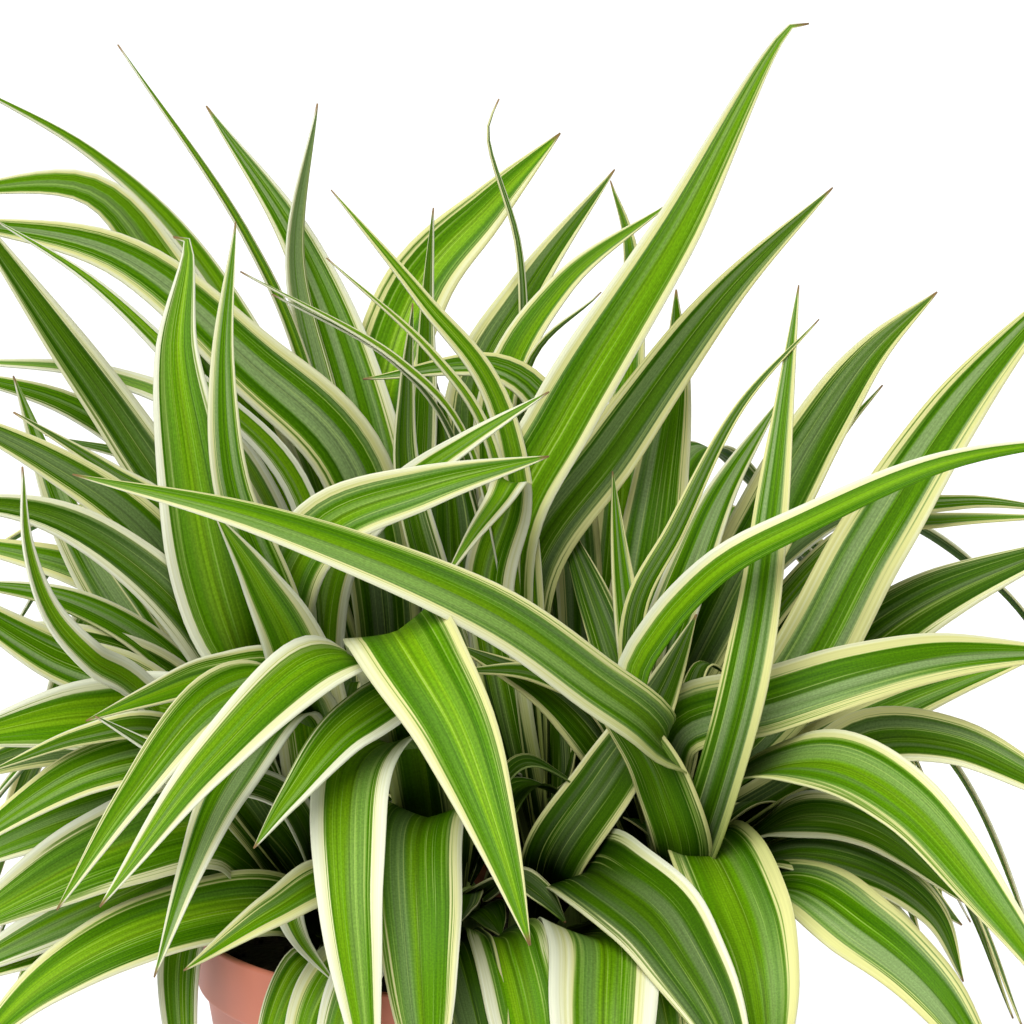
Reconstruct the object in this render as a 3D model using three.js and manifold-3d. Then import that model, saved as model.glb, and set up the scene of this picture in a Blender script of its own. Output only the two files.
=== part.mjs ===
// A potted spider plant: the variegated, broad-leaved form, six rosettes grown together in one
// plastic nursery pot. Millimetres, +Z up, the origin at the middle of the pot's foot.
// The front of the plant looks along -Y, and +X is to its right.
import * as THREE from "three";
import { mergeVertices } from "three/addons/utils/BufferGeometryUtils.js";
import Module from "manifold-3d";

const wasm = await Module();
wasm.setup();

// ---- driving dimensions -------------------------------------------------------------------

const POT_HEIGHT = 114;
const RIM_RADIUS = 65;
const FOOT_RADIUS = 45;
const POT_WALL = 1.5;
const POT_FLOOR = 2;
const BAND_HEIGHT = 14; // the upright band that stiffens the rim
const BAND_STEP = 1.6; // how far the band stands out from the wall below it
const BAND_TAPER = 0.6; // how much narrower its foot is than its lip
const BAND_ROUND = 1.2; // radius of the band's lower edge
const LIP_RADIUS = 0.9; // the lip is a half round of this radius
const SHOULDER = 1.5; // half the height of the slope inside, from the wall out to the band
const FOOT_ROUND = 3; // radius of the foot's edge
const INNER_CHAMFER = 3; // inside, between wall and floor
const DRAIN_HOLES = 6;
const DRAIN_RADIUS = 4;
const DRAIN_CIRCLE = 27;
const DRAIN_SIDES = 16;
const ROUND_SIDES = 44; // of the pot and the soil in it

const CLEARANCE = 0.3; // between one piece and the next
const SOIL_LEVEL = POT_HEIGHT - 12; // where the soil meets the wall
const SOIL_DOME = 2.5; // how much higher it stands in the middle

const CROWN_RADIUS = 9.5; // a crown's sheathed foot, where it enters the soil
const CROWN_NECK = 6.5; // and at its top, where the leaves part
const CROWN_HEIGHT = 26;
const CROWN_DEPTH = 6; // how far it stands in the soil
const CROWN_SIDES = 12;
const ROOT_OFFSET = 6; // out to the foot of a level leaf, from the middle of its crown
const ROOT_LIFT = 4; // a level leaf's foot, above the soil
const ROOT_RISE = 16; // how much higher on the crown an upright leaf grows

const BLADE_THICKNESS = 1; // on the midrib, near the foot
const TIP_THICKNESS = 0.7;
const STATION_SPACING = 20; // along a blade, from one cross-section to the next
const FEWEST_STATIONS = 7;
const MOST_STATIONS = 11;
const SLIVER = 0.02; // edges shorter than this, left where blades cross, are closed up
const GRID = 0.001; // corners are set to this fineness

// ---- the reading view ---------------------------------------------------------------------

// The leaves that show from the front are set out as they are seen from there. A point is
// [across, up, behind]: across and up are measured in millimetres on an upright sheet through
// the rim's centre, square to the view, and behind is how far past the pot's axis it stands.
const VIEW_PITCH = THREE.MathUtils.degToRad(10); // the view looks down by this much
const VIEW_DISTANCE = 1000;
const VIEW_ACROSS = 4.85; // where the view's centre meets the sheet
const VIEW_UP = 89;

const RIM_CENTRE = new THREE.Vector3(0, 0, POT_HEIGHT);
const VIEW_RIGHT = new THREE.Vector3(1, 0, 0);
const VIEW_TOP = new THREE.Vector3(0, Math.sin(VIEW_PITCH), Math.cos(VIEW_PITCH));
const VIEW_AHEAD = new THREE.Vector3(0, Math.cos(VIEW_PITCH), -Math.sin(VIEW_PITCH));
const EYE = RIM_CENTRE.clone()
  .addScaledVector(VIEW_RIGHT, VIEW_ACROSS)
  .addScaledVector(VIEW_TOP, VIEW_UP)
  .addScaledVector(VIEW_AHEAD, -VIEW_DISTANCE);

// ---- the plant ----------------------------------------------------------------------------

// Where each rosette's crown stands: [x, y].
const CROWNS = {
  left: [-34, 0],
  front: [-8, -24],
  centre: [12, 4],
  right: [40, 6],
  back_left: [-20, 34],
  back_right: [22, 36],
};

// The leaves that show from the front: crown, greatest width, facing, the points that the
// midrib passes through on its way out, and its tip. Facing 1 turns the upper face full to the
// view, 0 leaves it as it grew, and -1 turns the underside to it. Two values are the facing
// near the foot and further out, for a blade that twists. A third is the share of the length
// where it starts to, and a fourth the degrees that it leans to one side before it does. A
// second value for the width is over 1 for a blunt blade, and under 1 for one that tapers long.
const SEEN_LEAVES = [
  // top left, behind
  ["back_left", [6, 0.8], 0.5, [-41, 120, 22], [-54, 150, 16], [-82, 192, 5]],
  ["back_left", [17, 0.8], 0.9, [-26, 100, 30], [-41, 146, 34], [-62.5, 178.5, 34]],
  ["back_left", 10, 0.6, [-37, 112, 26], [-43.3, 145, 26], [-38, 179, 22]],
  ["back_left", [8.5, 0.8], 0.6, [-40, 100, 14], [-66, 147, 14], [-88, 168, 10], [-116, 184, 0]],
  ["back_left", 17, 0.8, [-30, 98, 4], [-53, 122, -4], [-82, 145.5, -10], [-124, 154, -22]],
  ["back_left", 15, 0.8, [-50, 100, 8], [-72, 142, 4], [-88, 160, -2], [-124, 159, -16]],
  ["left", [6.5, 0.9], 0.8, [-42, 93, -16], [-66, 119, -22], [-88, 140, -28], [-110, 154, -34]],
  ["left", 13, 0.85, [-62, 78, -6], [-80, 107, -12], [-97, 131, -20], [-120, 163, -30]],
  // left uprights in front
  ["left", 20, [0.5, 0.95, 0.35], [-60, 72, -36], [-66.5, 105, -42], [-69, 125, -42],
    [-67, 149.3, -36], [-69.8, 149.6, -36]],
  ["left", 10, 0.8, [-46, 66, -34], [-57, 95, -44], [-59, 122, -44], [-56, 153, -38]],
  ["left", 17, 0.9, [-42, 56, -38], [-51, 74, -48], [-60.5, 88.5, -56]],
  // thin blades over the middle
  ["centre", 7, 0.75, [2, 112, -6], [-15, 136, -12], [-35, 160, -16]],
  ["centre", 4, 0.6, [0, 104, -8], [-12, 123, -14], [-36, 145, -22]],
  ["centre", 4, 0.45, [-5, 104, -14], [-20, 122, -22], [-55, 142, -34]],
  ["centre", 4, 0.4, [-8, 104, -10], [-22, 122.5, -20], [-48, 137, -30]],
  // top middle
  ["back_left", [17.5, 1.6], 0.85, [-26, 100, 34], [-16, 138, 42], [0, 156.5, 46],
    [15.5, 172.5, 48]],
  ["back_right", 4.5, 0.45, [8, 118, 34], [6, 148, 36], [-0.5, 173, 34], [2, 180, 33]],
  ["back_right", [13.5, 1.15], 0.8, [-4, 112, 38], [8, 138, 42], [27.5, 164.5, 44]],
  ["back_right", 12, 0.7, [2, 112, 28], [16, 139, 32], [39.5, 157, 34]],
  ["back_right", 10, 0.8, [30, 110, 40], [31, 147, 42], [26.5, 162, 40]],
  ["back_right", 4.5, 0.3, [8, 120, 24], [24.5, 137.5, 28]],
  ["back_right", 12, 0.7, [14, 108, 18], [2, 120.5, 12], [-28, 118.3, 6]],
  ["back_left", 9, 0.6, [-14, 112, 24], [-13.6, 135, 24], [-12.5, 156, 22]],
  ["centre", 9, 0.7, [-18, 95, 2], [-18.5, 116, 2], [-17, 135, 0]],
  // the two great blades of the middle
  ["centre", 15.5, 0.95, [3, 82, -2], [16, 110, -4], [40.5, 150, -8], [66.8, 196.4, -12],
    [70.3, 196.6, -12]],
  ["centre", 14.5, 0.9, [8, 74, 10], [27, 103, 14], [52, 137, 20], [75.5, 160.5, 24]],
  ["left", [15, 1.3], 0.85, [-46, 66, -26], [-36, 86, -38], [-14, 94.5, -40], [13, 101.3, -34]],
  ["left", 11, 0.7, [-34, 76, -14], [-18, 95, -22], [-5, 104.5, -26], [13, 115.5, -24]],
  ["centre", 14, 0.1, [-1, 72, -8], [4, 90, -14], [4.6, 95.5, -19], [2.5, 92, -25],
    [-3.5, 84, -30], [-10, 74, -34]],
  // the long blade that crosses the middle
  ["right", 12.5, [-0.2, 0.9, 0.14], [42, 10, -12], [40.2, 23.6, -18.4], [39.2, 34, -29],
    [34.6, 42.5, -42], [24, 50.4, -50], [0, 67, -63.5], [-50, 87, -74], [-92, 97.3, -76]],
  ["right", 13, -0.9, [42.5, 15, -28], [38.5, 27.8, -33], [35.5, 34.4, -36], [31, 41, -38],
    [24, 49, -40], [14, 57, -42]],
  // right uprights
  ["right", [11.5, 0.8], 0.75, [47.8, 20, -24.6], [55, 45, -29.4], [59.5, 68, -28],
    [62.5, 92, -22], [65.5, 118, -14], [68, 139, -8]],
  ["right", [7, 0.6], 0.7, [32, 66, -14], [41, 85, -16], [55, 112, -14], [72.5, 131.5, -12]],
  ["back_right", [16, 1.3], 0.85, [60, 85, 24], [71, 105, 26], [84, 124, 26], [98.5, 137.5, 24]],
  ["back_right", [18, 1.15], 0.9, [66, 50, 14], [84, 82, 18], [104, 113, 18], [130, 143, 14]],
  ["right", 8.2, 0.7, [37, 26, -28], [34.4, 33, -30], [31.2, 44, -30], [32.1, 54.4, -28.5],
    [36.5, 62, -28.5], [42, 69, -30], [52, 78, -34], [67.2, 86, -37], [100, 100, -40],
    [138, 106, -34]],
  ["back_right", 19, 0.75, [74, 52, 26], [95, 68, 26], [132, 84, 22]],
  ["back_right", 8, 0.5, [84, 86, 36], [104, 91, 40], [128, 89, 44]],
  ["back_right", 8, 0.5, [80, 84, 32], [100, 87, 30], [126, 88, 28]],
  ["back_right", 7, 0.5, [76, 104, 40], [86.5, 117, 42]],
  ["back_right", 16, 0.9, [34, 72, 20], [38, 98, 26], [41, 120, 28], [41, 138, 26]],
  ["back_right", 12, 0.8, [44, 76, 16], [51, 93, 18], [64, 114, 18]],
  ["right", 11, 0.8, [29, 52, 2], [22, 72, 10], [14, 92, 17]],
  ["right", 8, 0.7, [31, 60, 2], [28.5, 80, 4], [27, 98, 6]],
  ["centre", 15, 0.85, [15, 14, -24], [26, 30, -24], [36.5, 47, -19], [45.5, 66.5, -15]],
  ["right", 11, 0.7, [24, 36, -14], [12, 49, -22], [-8, 60, -36]],
  ["right", 8, 0.5, [24, 44, -14], [10, 53, -26], [-8, 54, -42]],
  // right, level and falling
  ["right", 16, 0.75, [41.5, 41, -14], [61.7, 47, -18], [81, 53, -18], [100, 57, -14],
    [132, 58, -6]],
  ["back_right", 13, 0.7, [68, 35, 12], [92, 47, 16], [124, 59, 18]],
  ["back_right", 16, 0.6, [66, 26, 4], [84, 38.5, -3], [102, 38, -5], [120, 30, -10],
    [140, 19, -14]],
  ["right", 16, [0.3, 0.7, 0.3], [54, 28, -14], [74, 33.5, -34], [92, 24.5, -54], [112, 1, -74],
    [130, -24, -84]],
  ["right", 12, [0.3, 0.7, 0.3], [66, 21, -8], [84, 19, -22], [104.5, 3, -38]],
  ["right", 12, [0.3, 0.7, 0.3], [64, 13, -10], [84, 10, -20], [98, 0, -30], [104.3, -14.5, -36]],
  ["right", 17, [0.3, 0.75, 0.3], [66, 6, -22], [82, -3, -42], [98, -17, -56], [116, -44, -64]],
  ["right", 8, 0.6, [72, 7, -16], [88, 1, -26], [98.5, -8.8, -32]],
  // front, falling over the rim
  ["centre", 22, [0, 0.7, 0.35, 30], [21, 9.5, -28], [27, 6.8, -42], [36.4, -0.4, -56.5],
    [42.5, -9, -66], [51, -24.5, -78], [58, -48, -84]],
  ["right", 22, [0, 0.7, 0.3, 10], [47, 15, -16], [54.3, 4, -38], [59.8, -14, -58], [62, -46, -66]],
  ["centre", 24.5, [0, 0.6, 0.35], [21, -5, -34], [25, -7, -56], [24.8, -20, -71.5],
    [24.3, -44, -79], [24, -80, -82]],
  ["front", 17.5, [0, 0.6, 0.35], [2, -5, -44], [4.5, -9.5, -60], [8, -24, -69], [12, -60, -74]],
  ["front", 15, [0, 0.6, 0.35], [-8, -6, -44], [-6, -10, -60.5], [-2, -26, -70], [3, -54, -76]],
  ["front", 23, [0, 0.8, 0.42, 23], [-15, 50, -46], [-20.5, 62.7, -57.5], [-15.5, 55, -74],
    [-7.6, 41, -86], [2, 15.5, -100], [8.8, -6.5, -108]],
  ["front", 15, [0, 0.75, 0.4], [-23, 52, -48], [-37, 55.5, -64], [-62, 33.5, -86], [-86, 2, -104]],
  ["left", 13, [0.1, 0.7, 0.4], [-42, 50, -38], [-60, 48, -58], [-79, 26, -80], [-95.5, 1.3, -94]],
  ["left", 12, [0.2, 0.7, 0.35], [-44, 52, -30], [-60, 53, -44], [-76, 48, -60], [-89, 43, -70]],
  ["left", 9, 0.6, [-46, 26, -40], [-65, 32, -58], [-87, 44, -70]],
  ["front", 13, [0, 0.75, 0.4], [-14, 48, -46], [-30, 42, -62], [-44, 26, -84], [-52, 15, -98]],
  ["front", 11, [0, 0.7, 0.35], [-32, 8, -52], [-48, 1, -74], [-67.5, -12, -90]],
  ["left", 12, [0.1, 0.75, 0.4], [-44, 44, -34], [-58, 28, -66], [-66, 10, -86], [-74, -13.5, -98]],
  ["front", 17, [0, 0.8, 0.4], [-20, 37, -42], [-29, 33, -58], [-31, 8, -80], [-25, -48, -94]],
  ["front", 20, [0, 0.8, 0.38], [-13, 21, -42], [-16, 17, -58], [-15.5, -6, -75], [-13, -50, -86]],
  ["left", 11, [0, 0.6, 0.35], [-34, -10, -40], [-41, -12, -53], [-47, -24, -62], [-50, -48, -65]],
  ["front", 12, [0, 0.6, 0.35], [-27, -8.5, -44], [-34, -12, -57], [-40, -24, -65.5],
    [-41, -51, -68]],
  ["front", 11, [0, 0.6, 0.35], [-22, -8, -48], [-28, -11.5, -60], [-34, -27, -69.5],
    [-34, -53, -74]],
  // left, level and falling
  ["left", 22, 0.9, [-66, 41, -34], [-88, 44, -46], [-122, 38, -60]],
  ["left", 9, 0.6, [-72, 41, -52], [-90, 39.5, -62], [-110, 32, -72]],
  ["left", 14, 0.75, [-66, 34, -46], [-88, 32, -60], [-122, 11, -78]],
  ["left", 22, 0.8, [-60, 20, -34], [-85, 14, -46], [-122, -6, -60]],
  ["left", 16, 0.7, [-50, 2, -34], [-75, -3, -46], [-98, -15, -56], [-118, -34, -62]],
  ["left", 10, 0.6, [-66, 4, -22], [-92, -6, -28], [-116, -15, -34]],
  ["left", 10.5, [0.2, 0.6, 0.35], [-55, 7, -18], [-67, -5, -28], [-66, -50, -38]],
  ["left", 10, 0.6, [-78, 50, -44], [-88, 56.5, -58], [-97, 67, -66], [-102, 82, -70],
    [-103, 99, -70]],
  ["left", 15, 0.75, [-76, 48, -30], [-98, 58, -40], [-128, 77, -52]],
  ["left", 10, 0.6, [-70, 55, -14], [-92, 69, -18], [-120, 74, -24]],
  ["left", 12, 0.8, [-80, 64, -4], [-92, 84, -4], [-105, 119, -8]],
  ["left", 13, 0.8, [-62, 60, -32], [-79, 78, -44], [-98, 88.5, -54], [-128, 92, -66]],
  ["left", 13, 0.75, [-63, 66, -22], [-78, 86.5, -32], [-98, 100.5, -40], [-128, 115, -50]],
  ["left", 9, 0.5, [-68, 86, -14], [-84, 98, -18], [-105, 111, -24]],
  ["back_left", 8, 0.6, [-58, 105, -2], [-84, 119, -6], [-122, 122.5, -12]],
  ["back_left", 12, 0.6, [-70, 95, 4], [-92, 112, 2], [-124, 121, -2]],
  ["back_left", 9, 0.5, [-70, 96, 14], [-98, 106, 16]],
];

// The leaves behind and beside them: crown, greatest width, azimuth in degrees from +X round
// to +Y, reach out from the crown, the arch's height above the rim, and the tip's.
const HIDDEN_LEAVES = [
  ["back_left", 16, 177, 112, 44, -18],
  ["back_left", 14, 167, 130, 82, 40],
  ["back_left", 18, 156, 114, 58, -30],
  ["back_left", 15, 149, 90, 98, 74],
  ["back_left", 17, 138, 128, 74, 2],
  ["back_left", 19, 126, 102, 50, -44],
  ["back_left", 14, 122, 66, 104, 92],
  ["back_left", 17, 112, 122, 84, 18],
  ["back_left", 18, 101, 98, 56, -28],
  ["back_left", 13, 98, 52, 96, 90],
  ["back_left", 16, 86, 116, 74, -10],
  ["back_left", 14, 74, 84, 90, 52],
  ["back_right", 15, 99, 72, 100, 86],
  ["back_right", 18, 88, 104, 58, -40],
  ["back_right", 17, 76, 124, 78, 8],
  ["back_right", 13, 70, 60, 98, 88],
  ["back_right", 19, 63, 100, 52, -24],
  ["back_right", 15, 54, 84, 92, 66],
  ["back_right", 17, 46, 122, 70, -12],
  ["back_right", 18, 33, 106, 56, -34],
  ["back_right", 14, 24, 130, 78, 30],
  ["back_right", 16, 8, 106, 50, -22],
  ["left", 15, 170, 104, 30, -40],
  ["left", 16, 186, 96, 38, -26],
];

// Along a blade, from foot to tip: its share of the greatest width, and the angle in degrees
// by which each half is folded up from flat.
const WIDTH_PROFILE = [
  [0, 0.3], [0.14, 0.5], [0.26, 0.84], [0.42, 1], [0.6, 0.93],
  [0.75, 0.68], [0.88, 0.35], [0.95, 0.16], [1, 0.02],
];
const FOLD_PROFILE = [[0, 50], [0.2, 26], [0.45, 14], [1, 9]];
// An arching leaf's midrib: shares of its reach, of its rise and of its drop past the top.
const ARCH = [[0.22, 0.62, 0], [0.52, 1, 0], [0.8, 1, 0.38], [1, 1, 1]];
const TWIST_START = 0.08; // share of the length where a twist starts, unless a leaf has its own
const TWIST_SPAN = 0.25;

// ---- helpers ------------------------------------------------------------------------------

function interpolate(profile, at) {
  const next = profile.findIndex(([x]) => x >= at);
  if (next <= 0) return profile[Math.max(next, 0)][1];
  const [x0, y0] = profile[next - 1];
  const [x1, y1] = profile[next];
  return y0 + ((y1 - y0) * (at - x0)) / (x1 - x0);
}

// A closed geometry as a solid, with the corners that meet made one.
function toSolid(geometry) {
  const bare = geometry.clone();
  bare.deleteAttribute("normal");
  bare.deleteAttribute("uv");
  const merged = mergeVertices(bare, GRID);
  return new wasm.Manifold(
    new wasm.Mesh({
      numProp: 3,
      vertProperties: merged.getAttribute("position").array,
      triVerts: new Uint32Array(merged.index.array),
    }),
  );
}

// A solid as a geometry, with its corners set on the grid.
function toGeometry(solid) {
  const mesh = solid.getMesh();
  const places = mesh.vertProperties.map((value) => Math.round(value / GRID) * GRID);
  const geometry = new THREE.BufferGeometry();
  geometry.setAttribute("position", new THREE.BufferAttribute(places, 3));
  geometry.setIndex(new THREE.BufferAttribute(mesh.triVerts, 1));
  geometry.computeVertexNormals();
  return geometry;
}

// The largest body of a solid: hollows that a join seals, and loose scraps, are dropped.
function largestBody(solid) {
  const bodies = solid.decompose();
  return bodies.reduce((most, body) => (body.volume() > most.volume() ? body : most));
}

// A solid of revolution about Z, from an outline of [radius, height].
function turned(outline, sides) {
  const points = outline.map(([radius, height]) => new THREE.Vector2(radius, height));
  return new THREE.LatheGeometry(points, sides).rotateX(Math.PI / 2);
}

// The points of an arc, in the plane of the outline, from one angle to another in degrees.
function arc(centreRadius, centreHeight, radius, fromDegrees, toDegrees, steps) {
  return Array.from({ length: steps + 1 }, (_, i) => {
    const angle = THREE.MathUtils.degToRad(
      fromDegrees + ((toDegrees - fromDegrees) * i) / steps,
    );
    return [
      centreRadius + radius * Math.cos(angle),
      centreHeight + radius * Math.sin(angle),
    ];
  });
}

// An upright cylinder on [x, y], from one height to another.
function post(x, y, radius, bottom, top, sides) {
  return new THREE.CylinderGeometry(radius, radius, top - bottom, sides)
    .rotateX(Math.PI / 2)
    .translate(x, y, (bottom + top) / 2);
}

// ---- pot and soil -------------------------------------------------------------------------

const BAND_FOOT = POT_HEIGHT - BAND_HEIGHT;
const WALL_TOP_RADIUS = RIM_RADIUS - BAND_TAPER - BAND_STEP; // the wall's outside, under the band
const WALL_SLOPE = (WALL_TOP_RADIUS - FOOT_RADIUS) / BAND_FOOT;

// The pot's inner radius, at a height above its floor.
function innerRadius(height) {
  return FOOT_RADIUS + WALL_SLOPE * height - POT_WALL;
}

function makePot() {
  const outline = [
    [0, 0],
    ...arc(FOOT_RADIUS - FOOT_ROUND, FOOT_ROUND, FOOT_ROUND, -90, -10, 3),
    [WALL_TOP_RADIUS, BAND_FOOT],
    ...arc(RIM_RADIUS - BAND_TAPER - BAND_ROUND, BAND_FOOT + BAND_ROUND, BAND_ROUND, -90, 0, 2),
    ...arc(RIM_RADIUS - LIP_RADIUS, POT_HEIGHT - LIP_RADIUS, LIP_RADIUS, 0, 180, 4),
    [RIM_RADIUS - BAND_TAPER - 2 * LIP_RADIUS, BAND_FOOT + SHOULDER],
    [innerRadius(BAND_FOOT - SHOULDER), BAND_FOOT - SHOULDER],
    [innerRadius(INNER_CHAMFER), POT_FLOOR + INNER_CHAMFER],
    [innerRadius(0) - INNER_CHAMFER, POT_FLOOR],
    [0, POT_FLOOR],
  ];
  let pot = toSolid(turned(outline, ROUND_SIDES));
  for (let i = 0; i < DRAIN_HOLES; i++) {
    const angle = ((i + 0.5) * 2 * Math.PI) / DRAIN_HOLES;
    const x = DRAIN_CIRCLE * Math.cos(angle);
    const y = DRAIN_CIRCLE * Math.sin(angle);
    pot = pot.subtract(toSolid(post(x, y, DRAIN_RADIUS, -1, POT_FLOOR + 1, DRAIN_SIDES)));
  }
  return pot;
}

function makeSoil() {
  const bottom = POT_FLOOR + CLEARANCE;
  const outline = [
    [0, bottom],
    [innerRadius(0) - INNER_CHAMFER - CLEARANCE, bottom],
    [innerRadius(INNER_CHAMFER) - CLEARANCE, bottom + INNER_CHAMFER],
    ...[1, 0.7, 0.35, 0].map((share) => [
      share * (innerRadius(SOIL_LEVEL) - CLEARANCE),
      SOIL_LEVEL + SOIL_DOME * (1 - share ** 2),
    ]),
  ];
  let soil = toSolid(turned(outline, ROUND_SIDES));
  for (const [x, y] of Object.values(CROWNS)) {
    const floor = SOIL_LEVEL - CROWN_DEPTH - CLEARANCE;
    const top = SOIL_LEVEL + SOIL_DOME + 1;
    const hole = post(x, y, CROWN_RADIUS + CLEARANCE, floor, top, CROWN_SIDES);
    soil = soil.subtract(toSolid(hole));
  }
  return soil;
}

// ---- leaves -------------------------------------------------------------------------------

// Where a point of the reading view stands.
function standing([across, up, behind]) {
  const ray = VIEW_RIGHT.clone()
    .multiplyScalar(across - VIEW_ACROSS)
    .addScaledVector(VIEW_TOP, up - VIEW_UP)
    .addScaledVector(VIEW_AHEAD, VIEW_DISTANCE);
  return EYE.clone().addScaledVector(ray, (behind - EYE.y) / ray.y);
}

// The midrib's points beyond the foot, for a leaf that is given by its arch.
function archPoints([x, y], azimuth, reach, rise, fall) {
  const angle = THREE.MathUtils.degToRad(azimuth);
  return ARCH.map(([out, risen, fallen]) => new THREE.Vector3(
    x + out * reach * Math.cos(angle),
    y + out * reach * Math.sin(angle),
    POT_HEIGHT + rise * risen + (fall - rise) * fallen,
  ));
}

// Where a leaf leaves its crown: on the side that it grows to, the higher the steeper it is.
function footOf([x, y], towards) {
  const base = new THREE.Vector3(x, y, SOIL_LEVEL + ROOT_LIFT);
  const heading = towards.clone().sub(base).normalize();
  const steepness = Math.max(heading.z, 0);
  return base
    .addScaledVector(new THREE.Vector3(heading.x, heading.y, 0), ROOT_OFFSET)
    .add(new THREE.Vector3(0, 0, ROOT_RISE * steepness ** 2));
}

// A blade along its midrib: four corners at each station, which are its two margins and the
// top and underside of its midrib, and one point at the tip. Both faces are split alike.
function blade(crown, width, facing, beyond) {
  const [greatest, bluntness] = [width, 1].flat();
  const tip = beyond[beyond.length - 1];
  const outward = new THREE.Vector3(tip.x - crown[0], tip.y - crown[1], 0).normalize();
  const foot = footOf(crown, beyond[0]);
  const level = new THREE.Vector3(0, 0, 1).cross(outward);
  const midrib = new THREE.CatmullRomCurve3([foot, ...beyond], false, "centripetal");
  const stations = THREE.MathUtils.clamp(
    Math.round(midrib.getLength() / STATION_SPACING),
    FEWEST_STATIONS,
    MOST_STATIONS,
  );
  const [nearFacing, farFacing, turnsAt = TWIST_START, lean = 0] = Array.isArray(facing)
    ? facing
    : [facing, facing];
  const corners = [];
  for (let i = 0; i < stations; i++) {
    const share = i / stations;
    const point = midrib.getPointAt(share);
    const along = midrib.getTangentAt(share);
    const grown = along.clone().cross(level).normalize();
    const toEye = EYE.clone().sub(point);
    toEye.addScaledVector(along, -toEye.dot(along)).normalize();
    const turn = THREE.MathUtils.smoothstep(share, turnsAt, turnsAt + TWIST_SPAN);
    const face = nearFacing + (farFacing - nearFacing) * turn;
    const normal = grown.multiplyScalar(1 - Math.abs(face)).addScaledVector(toEye, face);
    normal.addScaledVector(along, -normal.dot(along)).normalize();
    normal.applyAxisAngle(along, THREE.MathUtils.degToRad(lean * (1 - turn)));
    const side = along.clone().cross(normal);
    const half = (greatest / 2) * interpolate(WIDTH_PROFILE, share ** bluntness);
    const fold = THREE.MathUtils.degToRad(interpolate(FOLD_PROFILE, share));
    const thickness = BLADE_THICKNESS + (TIP_THICKNESS - BLADE_THICKNESS) * share;
    for (const [out, over] of [[-1, 0], [0, 1], [1, 0], [0, -1]]) {
      corners.push(
        point.clone()
          .addScaledVector(side, out * half * Math.cos(fold))
          .addScaledVector(normal, Math.abs(out) * half * Math.sin(fold))
          .addScaledVector(normal, (over * thickness) / 2),
      );
    }
  }
  corners.push(tip);
  return bladeGeometry(corners, stations);
}

function bladeGeometry(corners, stations) {
  const faces = [[0, 2, 1], [0, 3, 2]];
  for (let i = 0; i < stations - 1; i++) {
    const [left, top, right, under] = [0, 1, 2, 3].map((k) => 4 * i + k);
    const [left2, top2, right2, under2] = [4, 5, 6, 7].map((k) => 4 * i + k);
    faces.push([left, top2, left2], [left, top, top2]);
    faces.push([right, right2, top2], [right, top2, top]);
    faces.push([left, left2, under2], [left, under2, under]);
    faces.push([right, under2, right2], [right, under, under2]);
  }
  const last = 4 * (stations - 1);
  const tip = 4 * stations;
  for (let k = 0; k < 4; k++) faces.push([last + k, last + ((k + 1) % 4), tip]);
  const geometry = new THREE.BufferGeometry().setFromPoints(corners);
  geometry.setIndex(faces.flat());
  return geometry;
}

function makeCrown([x, y]) {
  const outline = [
    [0, -CROWN_DEPTH],
    [CROWN_RADIUS, -CROWN_DEPTH],
    [CROWN_RADIUS, 0],
    [CROWN_NECK, CROWN_HEIGHT],
    [0, CROWN_HEIGHT],
  ];
  return turned(outline, CROWN_SIDES).translate(x, y, SOIL_LEVEL);
}

// A rosette: its crown and every leaf that grows from it, joined into one body.
function makeRosette(name) {
  const crown = CROWNS[name];
  const pieces = [toSolid(makeCrown(crown))];
  for (const [owner, width, facing, ...points] of SEEN_LEAVES) {
    if (owner !== name) continue;
    pieces.push(toSolid(blade(crown, width, facing, points.map(standing))));
  }
  for (const [owner, width, azimuth, reach, rise, fall] of HIDDEN_LEAVES) {
    if (owner !== name) continue;
    pieces.push(toSolid(blade(crown, width, 0, archPoints(crown, azimuth, reach, rise, fall))));
  }
  const joined = largestBody(wasm.Manifold.union(pieces)).simplify(SLIVER);
  return largestBody(toSolid(toGeometry(joined)));
}

// ---- the part -----------------------------------------------------------------------------

const terracottaPlastic = { color: 0xb77862, roughness: 0.55, metalness: 0 };
const pottingSoil = { color: 0x2b1f17, roughness: 1, metalness: 0 };
const leafGreen = { color: 0x5c8f2a, roughness: 0.45, metalness: 0 };

function named(name, solid, finish) {
  const mesh = new THREE.Mesh(toGeometry(solid), new THREE.MeshStandardMaterial(finish));
  mesh.name = name;
  return mesh;
}

const plant = new THREE.Group();
plant.add(named("pot", makePot(), terracottaPlastic));
plant.add(named("potting_soil", makeSoil(), pottingSoil));
for (const name of Object.keys(CROWNS)) {
  plant.add(named("rosette_" + name, makeRosette(name), leafGreen));
}

export default plant;
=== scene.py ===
"""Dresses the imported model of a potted, variegated spider plant, and sets its stage.

The pot, the soil and the six rosettes are remade here as finer meshes that keep the form of
their nodes. Lengths in the tables are millimetres, and the scene is in metres."""

import math
import random
from functools import partial

import bmesh
import bpy
import numpy as np
from bpy.props import FloatProperty, IntProperty, PointerProperty, StringProperty
from mathutils import Matrix, Vector, noise


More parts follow.
